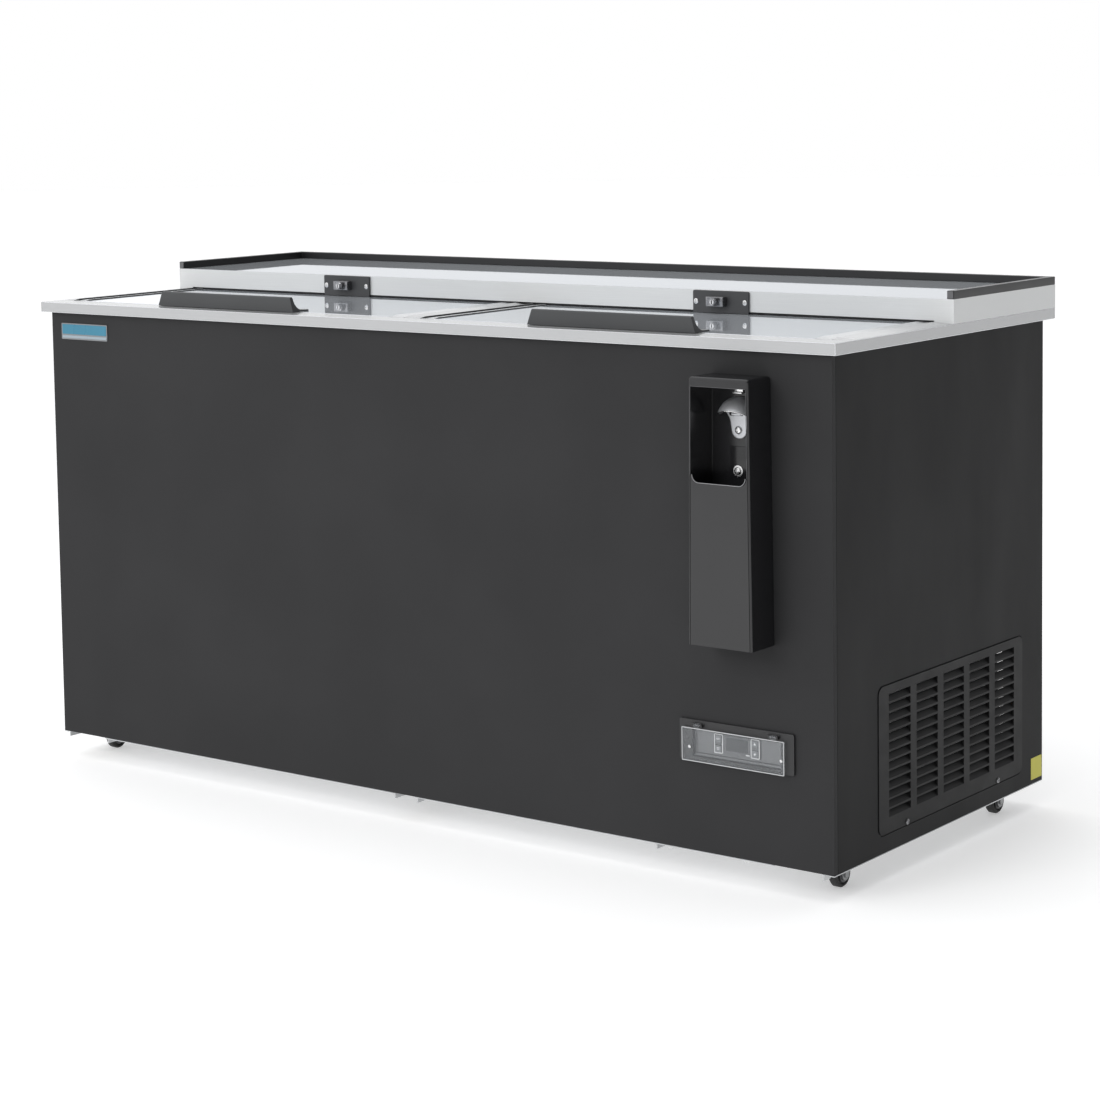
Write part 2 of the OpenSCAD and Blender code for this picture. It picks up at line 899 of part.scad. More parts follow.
module compressor() {
    z0 = z_body + tray_t;
    color(dark_plastic)
        translate([comp_x, comp_y, z0])
            union() {
                translate([0, 0, 16])
                    rotate_extrude($fn = 64)
                        polygon([
                            for (p = concat([[0, 0]],
                                [for (a = [-90:15:0]) [comp_r - 12 + 12 * cos(a), 12 + 12 * sin(a)]],
                                [for (a = [0:15:90]) [comp_r - 40 + 40 * cos(a), 130 + 40 * sin(a)]],
                                [[0, 170]])) p
                        ]);
                translate([0, 0, 14])
                    cube([190, 130, 4], center = true);
                for (sx = [-1, 1], sy = [-1, 1])
                    translate([sx * 82, sy * 52, 0])
                        cylinder(r = 12, h = 13, $fn = 32);
            }
}

module condenser_coil() {
    x1 = coil_x;
    y1 = grille_y - 205;
    z1 = z_body + channel_rise + channel_t;
    color([0.72, 0.73, 0.74])
        union() {
            for (i = [0:26])
                box([x1, y1 + 15 * i, z1 + 4], [x1 + 44, y1 + 15 * i + 1.2, z1 + 236]);
            for (side = [0, 390])
                box([x1 - 4, y1 + side - 1, z1], [x1 + 48, y1 + side + 2.2, z1 + 240]);
            for (row = [0:5], col = [0, 1])
                rod_y(x1 + 12 + 20 * col, z1 + 28 + 36 * row, y1 - 6, y1 + 398, 5, 24);
            box([x1 - 4, y1, z1], [x1 + 48, y1 + 390, z1 + 3]);
        }
}

module fan_motors() {
    color([0.3, 0.31, 0.32]) {
        union() {
            rod_x(fan_y, fan_z, 620, fan_x - 14, 38);
            rod_x(fan_y, fan_z, fan_x - 15, fan_x + 24, 4);
            box([650, fan_y - 10, z_body + tray_t], [656, fan_y + 10, fan_z - 30]);
            box([630, fan_y - 30, z_body + tray_t], [676, fan_y + 30, z_body + tray_t + 3]);
        }
        union() {
            rod_x(evap_fan_y, evap_fan_z, cover_x + 2, cover_x + 6, 20);
            rod_x(evap_fan_y, evap_fan_z, cover_x + 5, cover_x + 19, 3);
        }
    }
}

// An axial fan wheel on the X axis, centred on its own hub's left face
module fan_wheel(r_hub, r_tip, r_bore, width, blades, chord, pitch) {
    rotate([0, 90, 0])
        difference() {
            union() {
                cylinder(r = r_hub, h = width, $fn = 48);
                for (i = [0:blades - 1])
                    rotate([0, 0, 360 / blades * i])
                        translate([r_hub - 4, -chord / 2, width / 2])
                            rotate([pitch, 0, 0])
                                cube([r_tip - r_hub + 4, chord, 2]);
            }
            translate([0, 0, -width])
                cylinder(r = r_bore, h = 3 * width, $fn = 48);
        }
}

module condenser_fan() {
    color([0.15, 0.15, 0.16])
        translate([fan_x, fan_y, fan_z])
            fan_wheel(20, 90, 4.05, 20, 5, 44, 24);
}

module evaporator_fan() {
    color([0.15, 0.15, 0.16])
        translate([cover_x + 8, evap_fan_y, evap_fan_z])
            fan_wheel(15, 52, 3.05, 9, 7, 22, 16);
}

// The discharge pipe to the condenser, and the suction pipe up to the foam wall
module refrigerant_pipes() {
    z0 = z_body + tray_t;
    y_out = comp_y + 100;
    y_wall_pipe = y_back - 25;
    x_suction = bay_x + 12;
    shell = comp_r + 0.4;
    color([0.72, 0.45, 0.3])
        union() {
            tube_path([
                [comp_x, comp_y + shell, z0 + 60], [comp_x, y_out, z0 + 60], [comp_x, y_out, z0 + 235],
                [coil_x + 22, y_out, z0 + 235], [coil_x + 22, y_out - 37, z0 + 235]
            ], 5);
            tube_path([
                [comp_x - shell, comp_y, z0 + 90], [x_suction, comp_y, z0 + 90],
                [x_suction, comp_y, z0 + 200], [x_suction, y_wall_pipe, z0 + 200],
                [x_suction, y_wall_pipe, z0 + bay_h - 2]
            ], 6);
        }
}

module condensate_pan() {
    z0 = z_body + tray_t;
    color(dark_plastic)
        difference() {
            box([515, y_front + 40, z0 + 0.5], [690, y_front + 95, z0 + 30]);
            box([518, y_front + 43, z0 + 3], [687, y_front + 92, z0 + 40]);
        }
}

module evaporator_coil() {
    x1 = 726;
    z1 = z_shelf + 40;
    color([0.74, 0.75, 0.76])
        union() {
            for (i = [0:20])
                box([x1, -170 + 18 * i, z1 + 2], [x1 + 32, -169 + 18 * i, z1 + 198]);
            for (row = [0:4])
                rod_y(x1 + 16, z1 + 25 + 38 * row, -176, 197, 5, 24);
            box([x1, -171, z1], [tub_x, 192, z1 + 3]);
        }
}

module evaporator_cover() {
    color([0.72, 0.74, 0.75])
        difference() {
            box([cover_x, tub_front + 20, z_shelf], [tub_x, tub_back - 20, z_shelf + 280]);
            box([cover_x + 2, tub_front + 22, z_shelf - eps], [tub_x + eps, tub_back - 22, z_shelf + 278]);
            for (side = [-1, 1], row = [-3:3])
                translate([cover_x + 1, evap_fan_y + side * 37, evap_fan_z + 14 * row])
                    cube([6, 2 * sqrt(pow(guard_r, 2) - pow(14 * row, 2)) - 28, 7], center = true);
        }
}

// ---- Racks ----

module wire_mat(x1, x2, y1, y2, z, nx) {
    for (i = [0:nx])
        rod_y(x1 + (x2 - x1) * i / nx, z + 4, y1, y2, 2, 16);
    for (y = [y1 + 20, y2 - 20])
        rod_x(y, z + 1.3, x1 - 2, x2 + 2, 3, 16);
}

module bottle_racks() {
    color([0.3, 0.31, 0.32]) {
        wire_mat(8 - tub_x, x_step - 8, tub_front + 6, tub_back - 6, z_floor + 3, 34);
        wire_mat(x_step + 12, 690, tub_front + 6, tub_back - 6, z_shelf + 3, 8);
        for (x = [-370, 60])
            wire_divider(x);
    }
}

// An upright wire divider between two bins
module wire_divider(x) {
    for (z = [z_floor + 12, z_floor + 330])
        rod_y(x, z, tub_front + 2, tub_back - 2, 2.5, 16);
    for (i = [0:8])
        translate([x, tub_front + 12 + (tub_back - tub_front - 24) * i / 8, z_floor + 12])
            cylinder(r = 2, h = 318, $fn = 16);
}

// ---- Rear and casters ----

module power_inlet() {
    color(dark_plastic)
        difference() {
            union() {
                box([inlet_x - 11, y_back - 25, inlet_z - 15], [inlet_x + 11, y_back, inlet_z + 15]);
                translate([inlet_x, y_back + 3, inlet_z])
                    rotate([0, 0, 180])
                        round_plate(34, 44, 3, 3);
            }
            box([inlet_x - 7.5, y_back - 18, inlet_z - 10], [inlet_x + 7.5, y_back + 5, inlet_z + 10]);
        }
}

module caster_plate(x, y) {
    translate([x, y, z_body + channel_rise - 2.5])
        translate([-32, -32, 0])
            cube([64, 64, 2.5]);
    translate([x, y, crown_z + 6])
        cylinder(r = 15, h = channel_rise + z_body - crown_z - 8, $fn = 48);
    translate([x, y, crown_z - 1])
        cylinder(r = 4, h = 10, $fn = 48);
    translate([x, y, crown_z - 2.5])
        cylinder(r = 7, h = 2, $fn = 48);
}

module caster_plates() {
    color(galvanised)
        for (s = [-1, 1], y = caster_ys)
            caster_plate(s * caster_x, y + swivel_offset);
}

module caster_fork(s, y) {
    half = wheel_w / 2 + 1;
    leg_t = 2.2;
    color([0.7, 0.71, 0.72])
        translate([s * caster_x, y, 0])
            union() {
                difference() {
                    union() {
                        translate([0, swivel_offset, crown_z])
                            cylinder(r = 15, h = 5.5, $fn = 48);
                        box([-half - leg_t, swivel_offset - 14, crown_z],
                            [half + leg_t, swivel_offset + 6, crown_z + 2.5]);
                    }
                    translate([0, swivel_offset, crown_z - eps])
                        cylinder(r = 4.05, h = 12, $fn = 48);
                }
                for (m = [0, 1])
                    mirror([m, 0, 0])
                        translate([half, 0, 0])
                            rotate([90, 0, 90])
                                linear_extrude(leg_t)
                                    union() {
                                        polygon([
                                            [-9.9, wheel_z - 1], [4, crown_z + 2.5], [24, crown_z + 2.5],
                                            [9.5, wheel_z - 3]
                                        ]);
                                        translate([0, wheel_z])
                                            circle(10, $fn = 48);
                                    }
                rod_x(0, wheel_z, -half - leg_t - 2.5, half + leg_t + 2.5, 3);
                for (m = [0, 1])
                    mirror([m, 0, 0])
                        rod_x(0, wheel_z, half + leg_t, half + leg_t + 2.5, 6, 6);
            }
}

module caster_wheel(s, y) {
    color([0.12, 0.12, 0.12])
        translate([s * caster_x, y, wheel_z])
            rotate([0, 90, 0])
                translate([0, 0, -wheel_w / 2])
                    rotate_extrude($fn = 96)
                        polygon([
                            [3.05, 0], [8, 0], [9, 2], [15, 3], [17, 0.5], [wheel_d / 2 - 2, 0.5],
                            [wheel_d / 2, 3], [wheel_d / 2, wheel_w - 3], [wheel_d / 2 - 2, wheel_w - 0.5],
                            [17, wheel_w - 0.5], [15, wheel_w - 3], [9, wheel_w - 2], [8, wheel_w],
                            [3.05, wheel_w]
                        ]);
}

module caster_fork_fl() {
    caster_fork(-1, caster_ys[0]);
}

module caster_fork_fr() {
    caster_fork(1, caster_ys[0]);
}

module caster_fork_rl() {
    caster_fork(-1, caster_ys[1]);
}

module caster_fork_rr() {
    caster_fork(1, caster_ys[1]);
}

module caster_wheel_fl() {
    caster_wheel(-1, caster_ys[0]);
}

module caster_wheel_fr() {
    caster_wheel(1, caster_ys[0]);
}

module caster_wheel_rl() {
    caster_wheel(-1, caster_ys[1]);
}

module caster_wheel_rr() {
    caster_wheel(1, caster_ys[1]);
}

base_frame();
base_bolts();
front_panel();
left_panel();
right_panel();
rear_panel();
foam_insulation();
tub_liner();
worktop();
lid_divider();
lid_tracks();
lid_seals();
rear_housing();
housing_core();
guard_rail();
lock_plates();
panel_screws();
side_grille();
control_bezel();
control_plate();
temperature_controller();
catcher_housing();
bottle_opener();
badge_plate();
compressor();
condenser_coil();
fan_motors();
refrigerant_pipes();
condensate_pan();
evaporator_coil();
evaporator_cover();
bottle_racks();
power_inlet();
caster_plates();
lid_skin_left();
lid_skin_right();
lid_core_left();
lid_core_right();
lid_handle_left();
lid_handle_right();
lid_glides_left();
lid_glides_right();
lock_plunger_left();
lock_plunger_right();
catcher_bin();
control_cover();
key_up();
key_down();
key_set();
key_light();
condenser_fan();
evaporator_fan();
caster_fork_fl();
caster_fork_fr();
caster_fork_rl();
caster_fork_rr();
caster_wheel_fl();
caster_wheel_fr();
caster_wheel_rl();
caster_wheel_rr();
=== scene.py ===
"""Looks of the chest bottle cooler: camera, light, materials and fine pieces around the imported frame."""
import json
import math

import bmesh
import bpy
from mathutils import Matrix, Vector

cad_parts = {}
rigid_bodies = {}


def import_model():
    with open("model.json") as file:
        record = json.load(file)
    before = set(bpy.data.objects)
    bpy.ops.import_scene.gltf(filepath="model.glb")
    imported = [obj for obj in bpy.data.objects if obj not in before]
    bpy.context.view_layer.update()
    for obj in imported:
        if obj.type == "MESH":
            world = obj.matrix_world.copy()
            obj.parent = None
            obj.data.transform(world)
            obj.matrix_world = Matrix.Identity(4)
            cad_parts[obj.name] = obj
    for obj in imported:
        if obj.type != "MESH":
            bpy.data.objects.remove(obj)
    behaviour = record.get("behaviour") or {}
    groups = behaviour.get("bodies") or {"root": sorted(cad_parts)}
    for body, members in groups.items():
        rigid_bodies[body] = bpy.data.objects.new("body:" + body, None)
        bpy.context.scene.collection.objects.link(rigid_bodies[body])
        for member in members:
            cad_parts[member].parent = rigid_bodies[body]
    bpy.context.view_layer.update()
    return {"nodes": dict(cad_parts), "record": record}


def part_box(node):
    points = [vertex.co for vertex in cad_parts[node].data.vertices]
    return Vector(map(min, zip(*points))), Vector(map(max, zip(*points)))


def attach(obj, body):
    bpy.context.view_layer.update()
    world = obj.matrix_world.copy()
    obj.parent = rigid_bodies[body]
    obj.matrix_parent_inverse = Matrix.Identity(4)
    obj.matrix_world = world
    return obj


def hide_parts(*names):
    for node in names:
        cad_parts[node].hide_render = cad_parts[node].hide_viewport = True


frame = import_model()
MM = 0.001
CABINET = "cabinet"
DIVIDER_HALF = 18 * MM  # half the width of the strip between the lids
TRACK_STRIP = 28.5 * MM  # from a lid's outer end to the end of its track's strip
PLATE_STAND = 4 * MM  # from the rear housing's front to the lock plates' front
SUNK = 0.05 * MM  # how far a thin piece's back is sunk into the face that it lies on
FLUSH = Matrix.Identity(4)  # for pieces already made in their place

# CAD nodes whose finish isn't the one of their material slot: the side panels get a darker copy of the black
# coating as painted shade, and the rear housing a brighter copy of the stainless, partly a rougher finish and
# partly painted light
OTHER_FINISH = {
    "left_panel": "side_coating",
    "right_panel": "side_coating",
    "rear_housing": "housing_stainless",
}
# Rounding of a node's edges in millimetres, a lighter finish for the rounded edges that is painted highlight,
# and one for faces that look up: a polished finish with a bluish tint that is painted reflection of the sky
EDGE_ROUNDING = {
    "worktop": 0.8, "rear_housing": 0.8, "guard_rail": 1.2, "front_panel": 0.6, "left_panel": 0.4,
    "right_panel": 0.4, "lid_skin_left": 0.6, "lid_skin_right": 0.6, "lid_handle_left": 0.5,
    "lid_handle_right": 0.5, "catcher_bin": 0.8, "control_bezel": 0.5, "lock_plates": 0.4, "badge_plate": 0.3,
}
EDGE_PAINTED_HIGHLIGHT = {
    "worktop": "steel_edge", "rear_housing": "steel_edge", "control_bezel": "dark_edge",
    "lid_skin_left": "steel_edge", "lid_skin_right": "steel_edge",
}
# faces that look up on the rear housing get a polished finish with a bluish tint; the tint is painted
# reflection of the sky
TOP_POLISH_AND_SKY_TINT = {"rear_housing": "housing_top"}


# ---------------------------------------------------------------- camera, floor and light

def make_camera():
    """A long lens at the right front corner, a little above the worktop."""
    yaw, pitch, roll = 0.6454, -0.0897, -0.0144
    data = bpy.data.cameras.new("camera")
    data.lens = 87.77
    data.sensor_width = 36.0
    data.shift_y = -0.2
    data.clip_end = 60
    cam = bpy.data.objects.new("camera", data)
    bpy.context.scene.collection.objects.link(cam)
    forward = Vector((-math.sin(yaw) * math.cos(pitch), math.cos(yaw) * math.cos(pitch), math.sin(pitch)))
    side = Vector((math.cos(yaw), math.sin(yaw), 0))
    up = side.cross(forward)
    right = side * math.cos(roll) + up * math.sin(roll)
    top = up * math.cos(roll) - side * math.sin(roll)
    turn = Matrix((right, top, -forward)).transposed().to_4x4()
    cam.matrix_world = Matrix.Translation((2.7879, -3.6052, 1.1932)) @ turn
    bpy.context.scene.camera = cam


def make_floor():
    """A wide pale floor under the wheels."""
    bm = bmesh.new()
    bmesh.ops.create_circle(bm, cap_ends=True, radius=30, segments=96)
    floor = new_object("floor", bm)
    floor.data.materials.append(plain("floor_white", (0.78, 0.78, 0.78), 0.9, Emission_Color=(1, 1, 1, 1),
                                      Emission_Strength=0.38))


def area_light(name, place, target, size, watts):
    """A soft rectangular lamp that doesn't show in reflections."""
    data = bpy.data.lights.new(name, "AREA")
    data.shape = "RECTANGLE"
    data.size, data.size_y = size
    data.energy = watts
    lamp = bpy.data.objects.new(name, data)
    bpy.context.scene.collection.objects.link(lamp)
    lamp.visible_glossy = False
    lamp.location = place
    lamp.rotation_euler = (Vector(target) - Vector(place)).to_track_quat("-Z", "Y").to_euler()


def world_fade(tree, value, start, end, low, high):
    """A smooth change from one strength of light to another."""
    ramp = tree.nodes.new("ShaderNodeMapRange")
    ramp.interpolation_type = "SMOOTHSTEP"
    for key, number in zip(("From Min", "From Max", "To Min", "To Max"), (start, end, low, high)):
        ramp.inputs[key].default_value = number
    tree.links.new(value, ramp.inputs["Value"])
    return ramp.outputs["Result"]


def make_world():
    """A white studio: even light that falls off to the right, in front of a white backdrop."""
    world = bpy.data.worlds.new("studio")
    bpy.context.scene.world = world
    world.use_nodes = True
    tree = world.node_tree
    coords = tree.nodes.new("ShaderNodeTexCoord")
    split = tree.nodes.new("ShaderNodeSeparateXYZ")
    tree.links.new(coords.outputs["Generated"], split.inputs[0])
    strength = world_fade(tree, split.outputs["X"], -0.2, 0.8, 1.15, 0.14)
    room = tree.nodes["Background"]
    room.inputs["Color"].default_value = (0.985, 0.99, 1.0, 1.0)
    tree.links.new(strength, room.inputs["Strength"])
    backdrop = tree.nodes.new("ShaderNodeBackground")
    backdrop.inputs["Color"].default_value = (1.0, 1.0, 1.0, 1.0)
    mix = tree.nodes.new("ShaderNodeMixShader")
    tree.links.new(tree.nodes.new("ShaderNodeLightPath").outputs["Is Camera Ray"], mix.inputs["Fac"])
    tree.links.new(room.outputs["Background"], mix.inputs[1])
    tree.links.new(backdrop.outputs["Background"], mix.inputs[2])
    tree.links.new(mix.outputs["Shader"], tree.nodes["World Output"].inputs["Surface"])


def make_lights():
    """A large front light and a weaker one from above."""
    area_light("key", (-0.7, -4.6, 2.9), (0.1, 0, 0.4), (2.4, 2.2), 78)
    area_light("top", (0.2, 0.2, 3.6), (0, 0, 0.5), (3.6, 2.4), 26)
    bpy.context.scene.view_settings.view_transform = "Standard"


# ---------------------------------------------------------------- material parts

def material(name):
    """A new node material, its node tree and its shader."""
    mat = bpy.data.materials.new(name)
    mat.use_nodes = True
    tree = mat.node_tree
    return mat, tree, tree.nodes["Principled BSDF"]


def set_sockets(shader, color, rough, metallic=0.0, **more):
    """Constant values on the shader's own sockets."""
    shader.inputs["Base Color"].default_value = (*color, 1)
    shader.inputs["Roughness"].default_value = rough
    shader.inputs["Metallic"].default_value = metallic
    for key, value in more.items():
        shader.inputs[key.replace("_", " ")].default_value = value


def plain(name, color, rough, metallic=0.0, **more):
    """A material of constant values, for the floor only."""
    mat, _, shader = material(name)
    set_sockets(shader, color, rough, metallic, **more)
    return mat


def noise(tree, scale, stretch=(1, 1, 1), detail=3.0, rough=0.55):
    """Noise in the frame's own metres, so that its grain keeps one real size."""
    coords = tree.nodes.new("ShaderNodeTexCoord")
    mapping = tree.nodes.new("ShaderNodeMapping")
    mapping.inputs["Scale"].default_value = stretch
    texture = tree.nodes.new("ShaderNodeTexNoise")
    texture.inputs["Scale"].default_value = scale
    texture.inputs["Detail"].default_value = detail
    texture.inputs["Roughness"].default_value = rough
    tree.links.new(coords.outputs["Object"], mapping.inputs["Vector"])
    tree.links.new(mapping.outputs["Vector"], texture.inputs["Vector"])
    return texture.outputs["Fac"]


def spread(tree, value, low, high, start=0.3, end=0.7):
    """Maps a noise value to a range."""
    node = tree.nodes.new("ShaderNodeMapRange")
    node.inputs["From Min"].default_value = start
    node.inputs["From Max"].default_value = end
    node.inputs["To Min"].default_value = low
    node.inputs["To Max"].default_value = high
    tree.links.new(value, node.inputs["Value"])
    return node.outputs["Result"]


def tint(tree, value, dark, light, start=0.3, end=0.7):
    """Maps a noise value to a colour between two."""
    node = tree.nodes.new("ShaderNodeValToRGB")
    node.color_ramp.elements[0].position = start
    node.color_ramp.elements[1].position = end
    node.color_ramp.elements[0].color = (*dark, 1)
    node.color_ramp.elements[1].color = (*light, 1)
    tree.links.new(value, node.inputs["Fac"])
    return node.outputs["Color"]


def bump(tree, shader, value, strength, depth):
    """Adds relief of a real depth in metres on top of any that is there."""
    node = tree.nodes.new("ShaderNodeBump")
    node.inputs["Strength"].default_value = strength
    node.inputs["Distance"].default_value = depth
    tree.links.new(value, node.inputs["Height"])
    if shader.inputs["Normal"].is_linked:
        tree.links.new(shader.inputs["Normal"].links[0].from_socket, node.inputs["Normal"])
    tree.links.new(node.outputs["Normal"], shader.inputs["Normal"])


def scaled(color, factor):
    return tuple(c * factor for c in color)


def mottle(tree, shader, value, color, dark, light, start=0.3, end=0.7):
    """Varies the base colour between two multiples of it."""
    shade_of = tint(tree, value, scaled(color, dark), scaled(color, light), start, end)
    tree.links.new(shade_of, shader.inputs["Base Color"])


def coated(name, color, rough, grain=900, depth=0.00006, vary=0.08, **more):
    """Powder-coated or painted sheet: fine orange peel, faint clouds of sheen and a little handling wear."""
    mat, tree, shader = material(name)
    set_sockets(shader, color, rough, **more)
    clouds = noise(tree, 3.5, detail=5)
    mottle(tree, shader, clouds, color, 1 - vary, 1 + vary)
    smears = noise(tree, 9, (1, 1, 0.35), detail=6)
    tree.links.new(spread(tree, smears, rough - 0.05, rough + 0.06), shader.inputs["Roughness"])
    bump(tree, shader, noise(tree, grain, detail=2), 0.35, depth)
    return mat


def brushed(name, color, rough, along, depth=0.00001, wander=0.03, metallic=1.0, **more):
    """Metal sheet with a fine brushed grain along one axis, and soft smudges."""
    mat, tree, shader = material(name)
    set_sockets(shader, color, rough, metallic, **more)
    stretch = [1400, 1400, 1400]
    stretch["XYZ".index(along)] = 9
    grain = noise(tree, 1.0, stretch, detail=4, rough=0.7)
    mottle(tree, shader, grain, color, 0.96, 1.03)
    smudge = noise(tree, 7, detail=6)
    tree.links.new(spread(tree, smudge, rough - wander, rough + wander), shader.inputs["Roughness"])
    bump(tree, shader, grain, 0.2, depth)
    return mat


def moulded(name, color, rough, grain=1400, depth=0.00005, vary=0.05, **more):
    """Moulded plastic or rubber with a fine texture."""
    mat, tree, shader = material(name)
    set_sockets(shader, color, rough, **more)
    clouds = noise(tree, 30, detail=4)
    mottle(tree, shader, clouds, color, 1 - vary, 1 + vary)
    tree.links.new(spread(tree, clouds, rough - 0.04, rough + 0.05), shader.inputs["Roughness"])
    bump(tree, shader, noise(tree, grain, detail=2), 0.4, depth)
    return mat


def zinc(name, color, rough, scale=110, metallic=1.0, **more):
    """Galvanised or plated steel with a soft spangle."""
    mat, tree, shader = material(name)
    set_sockets(shader, color, rough, metallic, **more)
    cells = tree.nodes.new("ShaderNodeTexVoronoi")
    cells.inputs["Scale"].default_value = scale
    coords = tree.nodes.new("ShaderNodeTexCoord")
    tree.links.new(coords.outputs["Object"], cells.inputs["Vector"])
    value = cells.outputs["Distance"]
    mottle(tree, shader, value, color, 0.88, 1.05, 0.1, 0.9)
    tree.links.new(spread(tree, value, rough - 0.06, rough + 0.1, 0.1, 0.9), shader.inputs["Roughness"])
    bump(tree, shader, noise(tree, 500), 0.2, 0.00004)
    return mat


def cellular(name, color):
    """Foam with fine open cells."""
    mat, tree, shader = material(name)
    set_sockets(shader, color, 0.85)
    cells = noise(tree, 320, detail=3)
    mottle(tree, shader, cells, color, 0.8, 1.05)
    bump(tree, shader, cells, 0.6, 0.0004)
    return mat


def clear_cover(name):
    """Smoky clear plastic with fine scratches."""
    mat, tree, shader = material(name)
    set_sockets(shader, (0.46, 0.48, 0.50), 0.12, Alpha=0.12, IOR=1.49)
    scratch = noise(tree, 1.0, (30, 30, 900), detail=5)
    tree.links.new(spread(tree, scratch, 0.08, 0.26), shader.inputs["Roughness"])
    bump(tree, shader, scratch, 0.15, 0.00002)
    return mat


